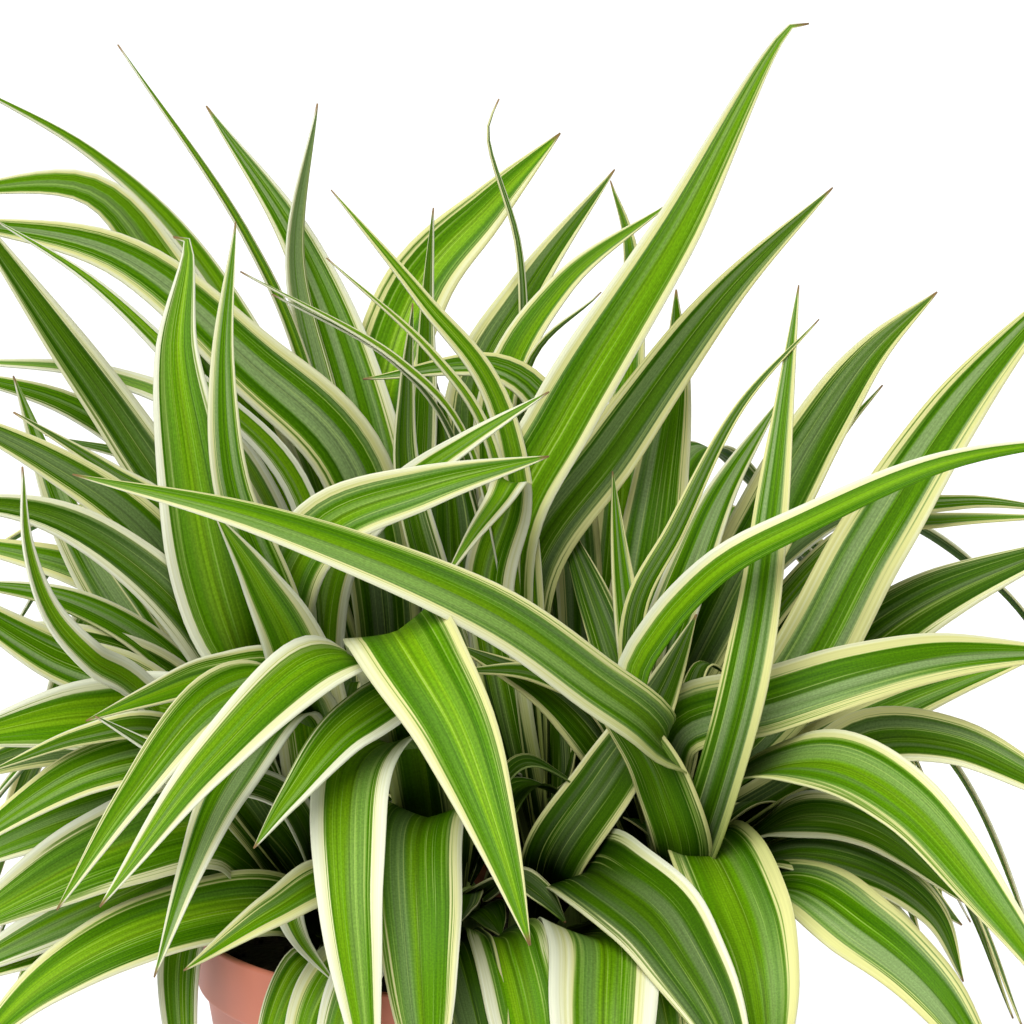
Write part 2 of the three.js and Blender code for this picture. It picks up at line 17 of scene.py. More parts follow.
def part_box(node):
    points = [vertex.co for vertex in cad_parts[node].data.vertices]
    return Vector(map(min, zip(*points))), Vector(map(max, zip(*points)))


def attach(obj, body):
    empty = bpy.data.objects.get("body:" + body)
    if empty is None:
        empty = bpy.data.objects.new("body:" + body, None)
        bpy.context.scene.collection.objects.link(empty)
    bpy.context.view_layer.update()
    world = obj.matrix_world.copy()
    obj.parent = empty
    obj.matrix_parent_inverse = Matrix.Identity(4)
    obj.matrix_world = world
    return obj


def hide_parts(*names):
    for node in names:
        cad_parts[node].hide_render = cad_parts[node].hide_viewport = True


bl_info = {
    "name": "Potted spider plant",
    "version": (1, 0, 0),
    "blender": (4, 5, 0),
    "location": "3D View > Sidebar > Spider plant",
    "description": "Builds a variegated spider plant in a plastic nursery pot",
    "category": "Add Mesh",
}

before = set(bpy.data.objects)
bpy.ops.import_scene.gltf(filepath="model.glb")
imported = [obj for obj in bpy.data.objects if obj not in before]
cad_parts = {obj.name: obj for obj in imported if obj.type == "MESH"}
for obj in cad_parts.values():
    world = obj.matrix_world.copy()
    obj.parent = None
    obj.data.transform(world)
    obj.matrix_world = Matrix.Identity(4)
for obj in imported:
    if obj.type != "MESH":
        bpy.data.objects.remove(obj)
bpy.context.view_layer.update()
MM = 0.001

# ---- sizes read from the frame ------------------------------------------------------------

POT_LOW, POT_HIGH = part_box("pot")
SOIL_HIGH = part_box("potting_soil")[1]
RIM_RADIUS = (POT_HIGH[0] - POT_LOW[0]) / 2 / MM
POT_HEIGHT = (POT_HIGH[2] - POT_LOW[2]) / MM
SOIL_DOME = 2.5  # how much higher the soil stands in the middle
SOIL_LEVEL = SOIL_HIGH[2] / MM - SOIL_DOME

# The pot's other sizes, in millimetres, as its node has them.
FOOT_RADIUS = 45
FOOT_ROUND = 3
FOOT_RING = 8  # the width of the ring that the pot stands on
FOOT_HOLLOW = 1  # how far its floor is off the ground inside the ring
FOOT_FLARE = 0.3  # how far the wall starts outside the foot's radius
WALL_POINTS = ((0.24, 25), (0.5, 50), (0.76, 75))  # on the wall: share of its lean, and height
POT_WALL = 1.5
POT_FLOOR = 2
INNER_CHAMFER = 3
BAND_HEIGHT = 14
BAND_STEP = 1.6
BAND_TAPER = 0.6
BAND_ROUND = 1.2
BAND_CORNER = ((-0.35, -1.2), (0, -0.3), (0.5, 0))  # the corner under it: out and up from it
LIP_RADIUS = 0.9
SHOULDER = 1.5
DRAIN_HOLES = 6
DRAIN_RADIUS = 4
DRAIN_CIRCLE = 27

# The compost's sizes, in millimetres, and those of the crumbs on it.
CLEARANCE = 0.3  # between it and the pot
SOIL_SKIN = 1  # how deep under its level it has lumps
SOIL_EDGE = 0.99  # how far out it has them, as a share of its radius
SOIL_LUMP = 7  # how far apart they are
LUMP_NOISE = (1.0, 2.0, 4)  # how fast their detail fades, how much finer each layer is, layers
LUMP_MIDDLE = 0.6  # the noise's value at the soil's level
LUMP_FADE = 12  # they fade out over the last one of so many parts of the radius
CRUMB_SIZE = (0.6, 1.9)
CRUMB_BREADTH = (0.6, 1)  # as shares of its length
CRUMB_HEIGHT = (0.5, 0.9)
CRUMB_AXIS = (1, 2, 3)  # what a crumb is turned about, and by up to so many radians
CRUMB_TURN = 6
CRUMB_ROUGH = 0.12  # how far its corners stray, as a share of its size
CRUMB_SUNK = 0.4
CRUMB_SPREAD = 0.97  # how far out the crumbs lie, as a share of the soil's radius
CRUMB_GAP = 1.5  # between a crumb and a crown

# How finely both are made.
POT_STEPS = 132
SOIL_STEPS = 132
SOIL_RINGS = 30
DRILL_STEPS = 32
SAME_PLACE = 1e-6  # in metres: corners nearer than this are one corner
NO_LENGTH = 1e-7  # in metres: edges shorter than this are taken out

# ---- the reading view ---------------------------------------------------------------------

# The leaves that show from the front are set out as the camera sees them. A point is
# [across, up, behind]: across and up are millimetres on an upright sheet through the rim's
# centre, square to the view, and behind is how far past the pot's axis the point stands.
VIEW_PITCH = math.radians(10)
VIEW_DISTANCE = 1000
VIEW_ACROSS = 4.85  # where the view's axis meets the sheet
VIEW_UP = 89

RIM_CENTRE = np.array([0, 0, POT_HEIGHT])
VIEW_RIGHT = np.array([1.0, 0, 0])
VIEW_TOP = np.array([0, math.sin(VIEW_PITCH), math.cos(VIEW_PITCH)])
VIEW_AHEAD = np.array([0, math.cos(VIEW_PITCH), -math.sin(VIEW_PITCH)])
EYE = RIM_CENTRE + VIEW_ACROSS * VIEW_RIGHT + VIEW_UP * VIEW_TOP - VIEW_DISTANCE * VIEW_AHEAD

# ---- the stage ----------------------------------------------------------------------------

SHEET_WIDTH = 225.6  # how much of the sheet the picture takes in, from side to side
SENSOR_WIDTH = 36
FAR_CLIP = 100  # in metres
FLOOR_REACH = 20  # in metres, from the plant to the floor's edge
KEY_ELEVATION = 47  # where the key light stands, in degrees above the floor
KEY_AZIMUTH = 250  # and round from +X to +Y
KEY_BREADTH = 50  # how much of the sky it fills, in degrees

# ---- the plant ----------------------------------------------------------------------------

# Where each rosette's crown stands: x, y.
CROWNS = {
    "left": (-34, 0),
    "front": (-8, -24),
    "centre": (12, 4),
    "right": (40, 6),
    "back_left": (-20, 34),
    "back_right": (22, 36),
}
CROWN_RADIUS = 9.5
CROWN_NECK = 6.5
CROWN_HEIGHT = 26
CROWN_DEPTH = 6
CROWN_STEPS = 40
ROOT_OFFSET = 6  # how far out a leaf leaves its crown
ROOT_LIFT = 4  # and how far up
ROOT_RISE = 16  # and how much further up, for an upright leaf
CROWN_SHEATHS = 5
SHEATH_DEPTH = 0.16
SHEATH_TWIST = 2.2  # how far their ridges' wave shifts from the soil to the top, in radians
SHEATH_START = 0.2  # how far under the soil they start, as a share of the crown's height

# How a blade looks: how vivid its middle is; how dark its green is, partly its own deeper tone
# and partly painted shade for a blade in shadow, where a value below 0 spares its foot the
# painted shade; the share of each half that is cream; and how much more of that lies along the
# right margin than the left, seen from the foot with the upper face up. The dusk and shade
# looks are painted shade, for blades deep in the plant's shaded heart.
LOOKS = {
    "plain": (0.6, 0.08, 0.24, 0),
    "vivid": (1.0, 0.0, 0.25, 0),
    "grey": (0.1, 0.1, 0.25, 0),
    "deep": (0.35, 0.4, 0.25, 0),
    "broad": (0.75, 0.05, 0.42, 0),
    "dusk": (0.35, 0.5, 0.16, 0),
    "bright": (1.0, -0.45, 0.25, 0),
    "shade": (0.3, 0.65, 0.07, 0),
    "left_edged": (0.9, 0.0, 0.28, -0.5),
    "right_edged": (0.6, 0.08, 0.28, 0.14),
}
# How white the cream is in each rosette, from least to most: those at the right are yellower,
# a painted shade: the yellow-green of light that has come through green leaves.
WHITENESS = {
    "left": (-0.4, 0.6), "front": (-0.4, 0.6), "centre": (-0.6, 0.3), "right": (-0.8, 0.1),
    "back_left": (-0.4, 0.4), "back_right": (-0.6, 0.2),
}
# How far a blade's cream and its skew stray from its look's, and the range of its seed.
CREAM_SPREAD = 0.04
SKEW_SPREAD = 0.1
STREAK_SEEDS = 60
# The looks that the leaves behind and beside draw from.
HIDDEN_LOOKS = ["plain", "plain", "vivid", "grey", "deep", "broad"]

# The short inner leaves of a rosette: how many there are, the turn from one to the next and how
# far it strays, in degrees; their widths, reach and rise; and the shares of reach and rise that
# those in front lack.
HEART_LEAVES = 12
HEART_TURN = 137.5
HEART_STRAY = 20
HEART_WIDTH = (9, 14)
HEART_REACH = (16, 46)
HEART_RISE = (16, 58)
HEART_SHORTER = 0.5
HEART_LOWER = 0.75
HEART_DROOP = 0.25  # how far the tip hangs under the arch, as a share of the reach

BLADE_COLUMNS = 14
BLADE_ROWS = 52
NARROWEST = 0.015  # a blade's least half-width, as a share of its greatest
FOLD_CURVE = 1.25  # 1 for a sharp fold, and more for a rounder one
WAVES = 2.2  # the fewest waves along a margin
MORE_WAVES = 1.6  # how many more there may be
WAVE_SHIFT = 1.7  # how far each margin's waves are shifted, in radians

# The leaves that show from the front, by crown: look, greatest width, facing, the midrib's points
# beyond the foot, and the tip. Facing 1 turns the upper face full to the view, 0 leaves it as it
# grew, and -1 turns the underside to it. Two values are the facing near the foot and further out,
# for a blade that twists. A third is the share of the length where it starts to, and a fourth the
# degrees that it leans to one side before it does. A second value for the width is over 1 for a
# blunt blade, and under 1 for one that tapers long.
SEEN_LEAVES = {
    "left": [
        # top left, behind
        ["broad", [6.5, 0.9], 0.8, [-42, 93, -16], [-66, 119, -22], [-88, 140, -28],
         [-110, 154, -34]],
        ["deep", 13, 0.85, [-62, 78, -6], [-80, 107, -12], [-97, 131, -20], [-120, 163, -30]],
        # left uprights in front
        ["bright", 20, [0.5, 0.95, 0.35], [-60, 72, -36], [-66.5, 105, -42], [-69, 125, -42],
         [-67, 149.3, -36], [-69.8, 149.6, -36]],
        ["grey", 10, 0.8, [-46, 66, -34], [-57, 95, -44], [-59, 122, -44], [-56, 153, -38]],
        ["bright", 17, 0.9, [-42, 56, -38], [-51, 74, -48], [-60.5, 88.5, -56]],
        # the great blades of the middle, and those beside them
        ["plain", [15, 1.3], 0.85, [-46, 66, -26], [-36, 86, -38], [-14, 94.5, -40],
         [13, 101.3, -34]],
        ["broad", 11, 0.7, [-34, 76, -14], [-18, 95, -22], [-5, 104.5, -26], [13, 115.5, -24]],
        # front, falling over the rim
        ["plain", 13, [0.1, 0.7, 0.4], [-42, 50, -38], [-60, 48, -58], [-79, 26, -80],
         [-95.5, 1.3, -94]],
        ["vivid", 12, [0.2, 0.7, 0.35], [-44, 52, -30], [-60, 53, -44], [-76, 48, -60],
         [-89, 43, -70]],
        ["deep", 9, 0.6, [-46, 26, -40], [-65, 32, -58], [-87, 44, -70]],
        ["grey", 12, [0.1, 0.75, 0.4], [-44, 44, -34], [-58, 28, -66], [-66, 10, -86],
         [-74, -13.5, -98]],
        ["vivid", 11, [0, 0.6, 0.35], [-34, -10, -40], [-41, -12, -53], [-47, -24, -62],
         [-50, -48, -65]],
        # left, level and falling
        ["vivid", 22, 0.9, [-66, 41, -34], [-88, 44, -46], [-122, 38, -60]],
        ["deep", 9, 0.6, [-72, 41, -52], [-90, 39.5, -62], [-110, 32, -72]],
        ["plain", 14, 0.75, [-66, 34, -46], [-88, 32, -60], [-122, 11, -78]],
        ["vivid", 22, 0.8, [-60, 20, -34], [-85, 14, -46], [-122, -6, -60]],
        ["vivid", 16, 0.7, [-50, 2, -34], [-75, -3, -46], [-98, -15, -56], [-118, -34, -62]],
        ["broad", 10, 0.6, [-66, 4, -22], [-92, -6, -28], [-116, -15, -34]],
        ["plain", 10.5, [0.2, 0.6, 0.35], [-55, 7, -18], [-67, -5, -28], [-66, -50, -38]],
        ["broad", 10, 0.6, [-78, 50, -44], [-88, 56.5, -58], [-97, 67, -66], [-102, 82, -70],
         [-103, 99, -70]],
        ["grey", 15, 0.75, [-76, 48, -30], [-98, 58, -40], [-128, 77, -52]],
        ["grey", 10, 0.6, [-70, 55, -14], [-92, 69, -18], [-120, 74, -24]],
        ["grey", 12, 0.8, [-80, 64, -4], [-92, 84, -4], [-105, 119, -8]],
        ["deep", 13, 0.8, [-62, 60, -32], [-79, 78, -44], [-98, 88.5, -54], [-128, 92, -66]],
        ["deep", 13, 0.75, [-63, 66, -22], [-78, 86.5, -32], [-98, 100.5, -40], [-128, 115, -50]],
        ["deep", 9, 0.5, [-68, 86, -14], [-84, 98, -18], [-105, 111, -24]],
    ],
    "front": [
        # front, falling over the rim
        ["vivid", 17.5, [0, 0.6, 0.35], [2, -5, -44], [4.5, -9.5, -60], [8, -24, -69],
         [12, -60, -74]],
        ["dusk", 15, [0, 0.6, 0.35], [-8, -6, -44], [-6, -10, -60.5], [-2, -26, -70],
         [3, -54, -76]],
        ["vivid", 23, [0, 0.8, 0.42, 23], [-15, 50, -46], [-20.5, 62.7, -57.5], [-15.5, 55, -74],
         [-7.6, 41, -86], [2, 15.5, -100], [8.8, -6.5, -108]],
        ["broad", 15, [0, 0.75, 0.4], [-23, 52, -48], [-37, 55.5, -64], [-62, 33.5, -86],
         [-86, 2, -104]],
        ["plain", 13, [0, 0.75, 0.4], [-14, 48, -46], [-30, 42, -62], [-44, 26, -84],
         [-52, 15, -98]],
        ["broad", 11, [0, 0.7, 0.35], [-32, 8, -52], [-48, 1, -74], [-67.5, -12, -90]],
        ["broad", 17, [0, 0.8, 0.4], [-20, 37, -42], [-29, 33, -58], [-31, 8, -80],
         [-25, -48, -94]],
        ["plain", 20, [0, 0.8, 0.38], [-13, 21, -42], [-16, 17, -58], [-15.5, -6, -75],
         [-13, -50, -86]],
        ["broad", 12, [0, 0.6, 0.35], [-27, -8.5, -44], [-34, -12, -57], [-40, -24, -65.5],
         [-41, -51, -68]],
        ["broad", 11, [0, 0.6, 0.35], [-22, -8, -48], [-28, -11.5, -60], [-34, -27, -69.5],
         [-34, -53, -74]],
    ],
    "centre": [
        # thin blades over the middle
        ["broad", 7, 0.75, [2, 112, -6], [-15, 136, -12], [-35, 160, -16]],
        ["broad", 4, 0.6, [0, 104, -8], [-12, 123, -14], [-36, 145, -22]],
        ["broad", 4, 0.45, [-5, 104, -14], [-20, 122, -22], [-55, 142, -34]],
        ["deep", 4, 0.4, [-8, 104, -10], [-22, 122.5, -20], [-48, 137, -30]],
        # top middle
        ["deep", 9, 0.7, [-18, 95, 2], [-18.5, 116, 2], [-17, 135, 0]],
        # the great blades of the middle, and those beside them
        ["right_edged", 15.5, 0.95, [3, 82, -2], [16, 110, -4], [40.5, 150, -8],
         [66.8, 196.4, -12], [70.3, 196.6, -12]],
        ["deep", 14.5, 0.9, [8, 74, 10], [27, 103, 14], [52, 137, 20], [75.5, 160.5, 24]],
        ["broad", 14, 0.1, [-1, 72, -8], [4, 90, -14], [4.6, 95.5, -19], [2.5, 92, -25],
         [-3.5, 84, -30], [-10, 74, -34]],
        # right uprights
        ["dusk", 15, 0.85, [15, 14, -24], [26, 30, -24], [36.5, 47, -19], [45.5, 66.5, -15]],
        # front, falling over the rim
        ["dusk", 22, [0, 0.7, 0.35, 30], [21, 9.5, -28], [27, 6.8, -42], [36.4, -0.4, -56.5],
         [42.5, -9, -66], [51, -24.5, -78], [58, -48, -84]],
        ["broad", 24.5, [0, 0.6, 0.35], [21, -5, -34], [25, -7, -56], [24.8, -20, -71.5],
         [24.3, -44, -79], [24, -80, -82]],
    ],
    "right": [
        # the long blade that crosses the middle
        ["plain", 12.5, [-0.2, 0.9, 0.14], [42, 10, -12], [40.2, 23.6, -18.4], [39.2, 34, -29],
         [34.6, 42.5, -42], [24, 50.4, -50], [0, 67, -63.5], [-50, 87, -74], [-92, 97.3, -76]],
        ["deep", 13, -0.9, [42.5, 15, -28], [38.5, 27.8, -33], [35.5, 34.4, -36], [31, 41, -38],
         [24, 49, -40], [14, 57, -42]],
        # right uprights
        ["grey", [11.5, 0.8], 0.75, [47.8, 20, -24.6], [55, 45, -29.4], [59.5, 68, -28],
         [62.5, 92, -22], [65.5, 118, -14], [68, 139, -8]],
        ["dusk", [7, 0.6], 0.7, [32, 66, -14], [41, 85, -16], [55, 112, -14], [72.5, 131.5, -12]],
        ["left_edged", 8.2, 0.7, [37, 26, -28], [34.4, 33, -30], [31.2, 44, -30],
         [32.1, 54.4, -28.5], [36.5, 62, -28.5], [42, 69, -30], [52, 78, -34], [67.2, 86, -37],
         [100, 100, -40], [138, 106, -34]],
        ["dusk", 11, 0.8, [29, 52, 2], [22, 72, 10], [14, 92, 17]],
        ["grey", 8, 0.7, [31, 60, 2], [28.5, 80, 4], [27, 98, 6]],
        ["dusk", 11, 0.7, [24, 36, -14], [12, 49, -22], [-8, 60, -36]],
        ["dusk", 8, 0.5, [24, 44, -14], [10, 53, -26], [-8, 54, -42]],
        # right, level and falling
        ["grey", 16, 0.75, [41.5, 41, -14], [61.7, 47, -18], [81, 53, -18], [100, 57, -14],
         [132, 58, -6]],
        ["plain", 16, [0.3, 0.7, 0.3], [54, 28, -14], [74, 33.5, -34], [92, 24.5, -54],
         [112, 1, -74], [130, -24, -84]],
        ["deep", 12, [0.3, 0.7, 0.3], [66, 21, -8], [84, 19, -22], [104.5, 3, -38]],
        ["deep", 12, [0.3, 0.7, 0.3], [64, 13, -10], [84, 10, -20], [98, 0, -30],
         [104.3, -14.5, -36]],
        ["grey", 17, [0.3, 0.75, 0.3], [66, 6, -22], [82, -3, -42], [98, -17, -56],
         [116, -44, -64]],
        ["plain", 8, 0.6, [72, 7, -16], [88, 1, -26], [98.5, -8.8, -32]],
        # front, falling over the rim
        ["plain", 22, [0, 0.7, 0.3, 10], [47, 15, -16], [54.3, 4, -38], [59.8, -14, -58],
         [62, -46, -66]],
    ],
    "back_left": [
        # top left, behind
        ["vivid", [6, 0.8], 0.5, [-41, 120, 22], [-54, 150, 16], [-82, 192, 5]],
        ["grey", [17, 0.8], 0.9, [-26, 100, 30], [-41, 146, 34], [-62.5, 178.5, 34]],
        ["grey", 10, 0.6, [-37, 112, 26], [-43.3, 145, 26], [-38, 179, 22]],
        ["plain", [8.5, 0.8], 0.6, [-40, 100, 14], [-66, 147, 14], [-88, 168, 10], [-116, 184, 0]],
        ["grey", 17, 0.8, [-30, 98, 4], [-53, 122, -4], [-82, 145.5, -10], [-124, 154, -22]],
        ["plain", 15, 0.8, [-50, 100, 8], [-72, 142, 4], [-88, 160, -2], [-124, 159, -16]],
        # top middle
        ["vivid", [17.5, 1.6], 0.85, [-26, 100, 34], [-16, 138, 42], [0, 156.5, 46],
         [15.5, 172.5, 48]],
        ["deep", 9, 0.6, [-14, 112, 24], [-13.6, 135, 24], [-12.5, 156, 22]],
        # left, level and falling
        ["broad", 8, 0.6, [-58, 105, -2], [-84, 119, -6], [-122, 122.5, -12]],
        ["grey", 12, 0.6, [-70, 95, 4], [-92, 112, 2], [-124, 121, -2]],
        ["grey", 9, 0.5, [-70, 96, 14], [-98, 106, 16]],
    ],
    "back_right": [
        # top middle
        ["grey", 4.5, 0.45, [8, 118, 34], [6, 148, 36], [-0.5, 173, 34], [2, 180, 33]],
        ["deep", [13.5, 1.15], 0.8, [-4, 112, 38], [8, 138, 42], [27.5, 164.5, 44]],
        ["plain", 12, 0.7, [2, 112, 28], [16, 139, 32], [39.5, 157, 34]],
        ["plain", 10, 0.8, [30, 110, 40], [31, 147, 42], [26.5, 162, 40]],
        ["deep", 4.5, 0.3, [8, 120, 24], [24.5, 137.5, 28]],
        ["grey", 12, 0.7, [14, 108, 18], [2, 120.5, 12], [-28, 118.3, 6]],
        # right uprights
        ["deep", [16, 1.3], 0.85, [60, 85, 24], [71, 105, 26], [84, 124, 26], [98.5, 137.5, 24]],
        ["grey", [18, 1.15], 0.9, [66, 50, 14], [84, 82, 18], [104, 113, 18], [130, 143, 14]],
        ["dusk", 19, 0.75, [74, 52, 26], [95, 68, 26], [132, 84, 22]],
        ["grey", 8, 0.5, [84, 86, 36], [104, 91, 40], [128, 89, 44]],
        ["plain", 8, 0.5, [80, 84, 32], [100, 87, 30], [126, 88, 28]],
        ["deep", 7, 0.5, [76, 104, 40], [86.5, 117, 42]],
        ["grey", 16, 0.9, [34, 72, 20], [38, 98, 26], [41, 120, 28], [41, 138, 26]],
        ["grey", 12, 0.8, [44, 76, 16], [51, 93, 18], [64, 114, 18]],
        # right, level and falling
        ["broad", 13, 0.7, [68, 35, 12], [92, 47, 16], [124, 59, 18]],
        ["deep", 16, 0.6, [66, 26, 4], [84, 38.5, -3], [102, 38, -5], [120, 30, -10],
         [140, 19, -14]],
    ],
}

# Lesser leaves between these, which only this scene has, given in the same way.
LESSER_LEAVES = {
    "left": [
        ["plain", 15, 0.8, [-62, 26, -22], [-90, 22, -30], [-124, 8, -40]],
        ["plain", 14, 0.8, [-58, 12, -18], [-85, 3, -26], [-124, -16, -34]],
        ["dusk", 13, 0.8, [-64, 36, -24], [-92, 38, -34], [-126, 28, -44]],
        ["dusk", 13, 0.7, [-70, 50, -16], [-92, 60, -22], [-124, 62, -30]],
        ["broad", 8, [0, 0.7, 0.35], [-38, 5, -34], [-44, 2, -45], [-42, -5, -53],
         [-34, -15, -60]],
    ],
    "front": [
        ["dusk", 14, [0, 0.6, 0.35], [-13, -7, -44], [-13, -12, -58], [-9, -28, -67.5],
         [-3, -52, -72]],
    ],
    "centre": [
        ["plain", 15, [0, 0.6, 0.35], [29, -6, -40], [35, -10, -55], [39, -24, -65],
         [41, -50, -70]],
    ],
    "right": [
        ["dusk", 13, 0.7, [62, 16, 0], [84, 14, -8], [104, -2, -16]],
    ],
    "back_left": [
        ["plain", 14, 0.7, [-60, 60, 10], [-90, 76, 8], [-124, 84, 4]],
        ["dusk", 16, 0.8, [-8, 60, 22], [-8, 85, 22], [-12, 118, 24]],
    ],
    "back_right": [
        ["dusk", 14, 0.8, [66, 24, 10], [90, 22, 4], [112, 6, -4]],
    ],
}

# The leaves behind and beside them, by crown: greatest width, azimuth in degrees from +X round
# to +Y, reach out from the crown, the arch's height above the rim, and the tip's.
HIDDEN_LEAVES = {
    "left": [
        (15, 170, 104, 30, -40), (16, 186, 96, 38, -26),
    ],
    "back_left": [
        (16, 177, 112, 44, -18), (14, 167, 130, 82, 40), (18, 156, 114, 58, -30),
        (15, 149, 90, 98, 74), (17, 138, 128, 74, 2), (19, 126, 102, 50, -44),
        (14, 122, 66, 104, 92), (17, 112, 122, 84, 18), (18, 101, 98, 56, -28),
        (13, 98, 52, 96, 90), (16, 86, 116, 74, -10), (14, 74, 84, 90, 52),
    ],
    "back_right": [
        (15, 99, 72, 100, 86), (18, 88, 104, 58, -40), (17, 76, 124, 78, 8), (13, 70, 60, 98, 88),
        (19, 63, 100, 52, -24), (15, 54, 84, 92, 66), (17, 46, 122, 70, -12),
        (18, 33, 106, 56, -34), (14, 24, 130, 78, 30), (16, 8, 106, 50, -22),
    ],
}

# Lesser leaves between those, which only this scene has, given in the same way.
LESSER_ARCHES = {
    "left": [
        (13, 178, 80, 34, -18), (14, 196, 78, 28, -34),
    ],
    "right": [
        (14, 12, 80, 26, -30), (13, -8, 78, 30, -24),
    ],
    "back_left": [
        (12, 181, 88, 62, 26), (13, 172, 74, 34, -6), (12, 162, 98, 90, 48),
        (14, 144, 108, 42, -14), (12, 132, 76, 82, 60), (15, 118, 88, 36, -30),
        (13, 106, 74, 64, 30), (15, 94, 108, 46, -22), (12, 90, 60, 34, 8), (13, 80, 70, 52, 16),
        (14, 86, 92, 40, -34), (13, 70, 78, 66, 20),
    ],
    "back_right": [
        (14, 94, 82, 40, -12), (12, 82, 76, 72, 34), (15, 70, 92, 36, -34), (13, 58, 64, 50, 24),
        (14, 50, 104, 44, -20), (12, 40, 86, 78, 44), (15, 28, 92, 38, -30), (12, 17, 84, 60, 14),
        (13, 2, 88, 36, -12), (14, 104, 90, 44, -30), (12, 112, 66, 70, 30),
    ],
}

# Along a blade, from foot to tip: its share of the greatest width, and the angle in degrees
# by which each half is folded up from flat.
WIDTH_PROFILE = [
    (0, 0.42), (0.08, 0.6), (0.2, 0.88), (0.36, 1), (0.58, 0.94),
    (0.75, 0.68), (0.88, 0.35), (0.95, 0.16), (1, 0.02),
]
FOLD_PROFILE = [(0, 50), (0.2, 26), (0.45, 14), (1, 9)]
TWIST_START = 0.08  # where a blade that twists starts to, and over how much of its length
TWIST_SPAN = 0.25
# An arching leaf's midrib: shares of its reach, of its rise and of its drop past the top.
ARCH = [(0.22, 0.62, 0), (0.52, 1, 0), (0.8, 1, 0.38), (1, 1, 1)]

CURVE_STEPS = 60  # from one point of a midrib to the next
FINE_SHARES = np.linspace(0, 1, 241)  # where a midrib and a profile are worked out
PROFILE_BLUR = 6  # how far a profile's corners are rounded, in those steps


# ---- colours and nodes --------------------------------------------------------------------

# Settings that several nodes share.
TIMES = {"operation": "MULTIPLY"}
PLUS = {"operation": "ADD"}
TIMES_PLUS = {"operation": "MULTIPLY_ADD"}
UNSIGNED = {"operation": "ABSOLUTE"}
SCALED = {"operation": "SCALE"}
TIMES_TO_ONE = {"operation": "MULTIPLY", "use_clamp": True}
PLUS_TO_ONE = {"operation": "ADD", "use_clamp": True}
LESS_TO_ZERO = {"operation": "SUBTRACT", "use_clamp": True}
BLEND = {"data_type": "RGBA"}
SMOOTH = {"interpolation_type": "SMOOTHSTEP"}


def linear(hex_colour):
    """An sRGB hex colour as linear red, green, blue and alpha."""
    channels = [int(hex_colour[i : i + 2], 16) / 255 for i in (1, 3, 5)]
    values = [c / 12.92 if c <= 0.04045 else ((c + 0.055) / 1.055) ** 2.4 for c in channels]
    return (*values, 1.0)


def node(tree, kind, settings=None, **links):
    """Adds a node with its settings, and gives each named input a value or a link.

    An input goes by its name, with underscores for spaces, or by i and its number. A text is
    an sRGB hex colour. A link comes from a socket, or from a node, which stands for the first
    of its outputs that is in use."""
    made = tree.nodes.new("ShaderNode" + kind)
    for key, value in (settings or {}).items():
        setattr(made, key, value)
    for key, value in links.items():
        numbered = key[0] == "i" and key[1:].isdigit()
        socket = made.inputs[int(key[1:]) if numbered else key.replace("_", " ")]
        if isinstance(value, bpy.types.Node):
            value = next(output for output in value.outputs if output.enabled)
        if isinstance(value, bpy.types.NodeSocket):
            tree.links.new(value, socket)
        else:
            socket.default_value = linear(value) if isinstance(value, str) else value
    return made


def emptied(owner):
    """Clears a material's or a world's nodes, and returns what adds a node to it."""
    owner.use_nodes = True
    owner.node_tree.nodes.clear()
    return partial(node, owner.node_tree)


# ---- materials ----------------------------------------------------------------------------

PLASTIC_CLOUD = 22 * MM  # across a cloudy patch on the pot
PLASTIC_PEBBLE = 0.9 * MM  # across a pebble of its skin
PLASTIC_IOR = 1.49
COMPOST_CRUMB = 1.6 * MM  # across a crumb
COMPOST_FLECK = 3.5 * MM  # across a lighter or a darker fleck
LEAF_IOR = 1.42
SHEATH_RIB = (1.2 * MM, 1.2 * MM, 14 * MM)  # across and along a rib of a crown's sheaths
# A blade's noise: how many cells of it lie across and along the blade, and its detail, for the
# broad bands, the streaks, the veins and the grain.
STREAKS = [
    ((4.0, 0.8, 0.0), 1.0), ((13.0, 1.2, 0.0), 2.0), ((36.0, 1.6, 0.0), 2.0),
    ((34.0, 260.0, 0.0), 1.0),
]
SEED_SHIFT = (3.7, 1.9, 0.0)  # how far the noise moves from one seed to the next


def terracotta_plastic(settings):
    """Injection-moulded polypropylene, pigmented like fired clay.

    It gives the eye a dull, even terracotta with a broad soft sheen, a fine pebbled skin, faint
    cloudy patches where it has dulled, and a chalky bloom low on the wall."""
    material = bpy.data.materials.new("moulded_terracotta_polypropylene")
    add = emptied(material)
    place = add("TexCoord").outputs["Object"]
    cloud = add("TexNoise", Vector=place, Scale=1 / PLASTIC_CLOUD, Detail=3.0, Roughness=0.55)
    pebble = add("TexNoise", Vector=place, Scale=1 / PLASTIC_PEBBLE, Detail=2.0)
    height = add("SeparateXYZ", i0=place).outputs["Z"]
    wall = (POT_HEIGHT - BAND_HEIGHT) * MM
    bloom = add("MapRange", Value=height, From_Min=wall, From_Max=0.0, To_Max=0.35)
    bloom = add("Math", TIMES, i0=bloom, i1=cloud)
    clay = add("Mix", BLEND, i0=cloud, i6=settings.shade, i7=settings.colour)
    clay = add("Mix", BLEND, i0=bloom, i6=clay, i7=settings.bloom)
    dull = add("MapRange", Value=cloud, To_Min=0.42, To_Max=0.62)
    bump = add("Bump", Height=pebble, Strength=0.25, Distance=0.05 * MM)
    skin = add("BsdfPrincipled", Base_Color=clay, Roughness=dull, IOR=PLASTIC_IOR, Normal=bump)
    add("OutputMaterial", Surface=skin)
    return material


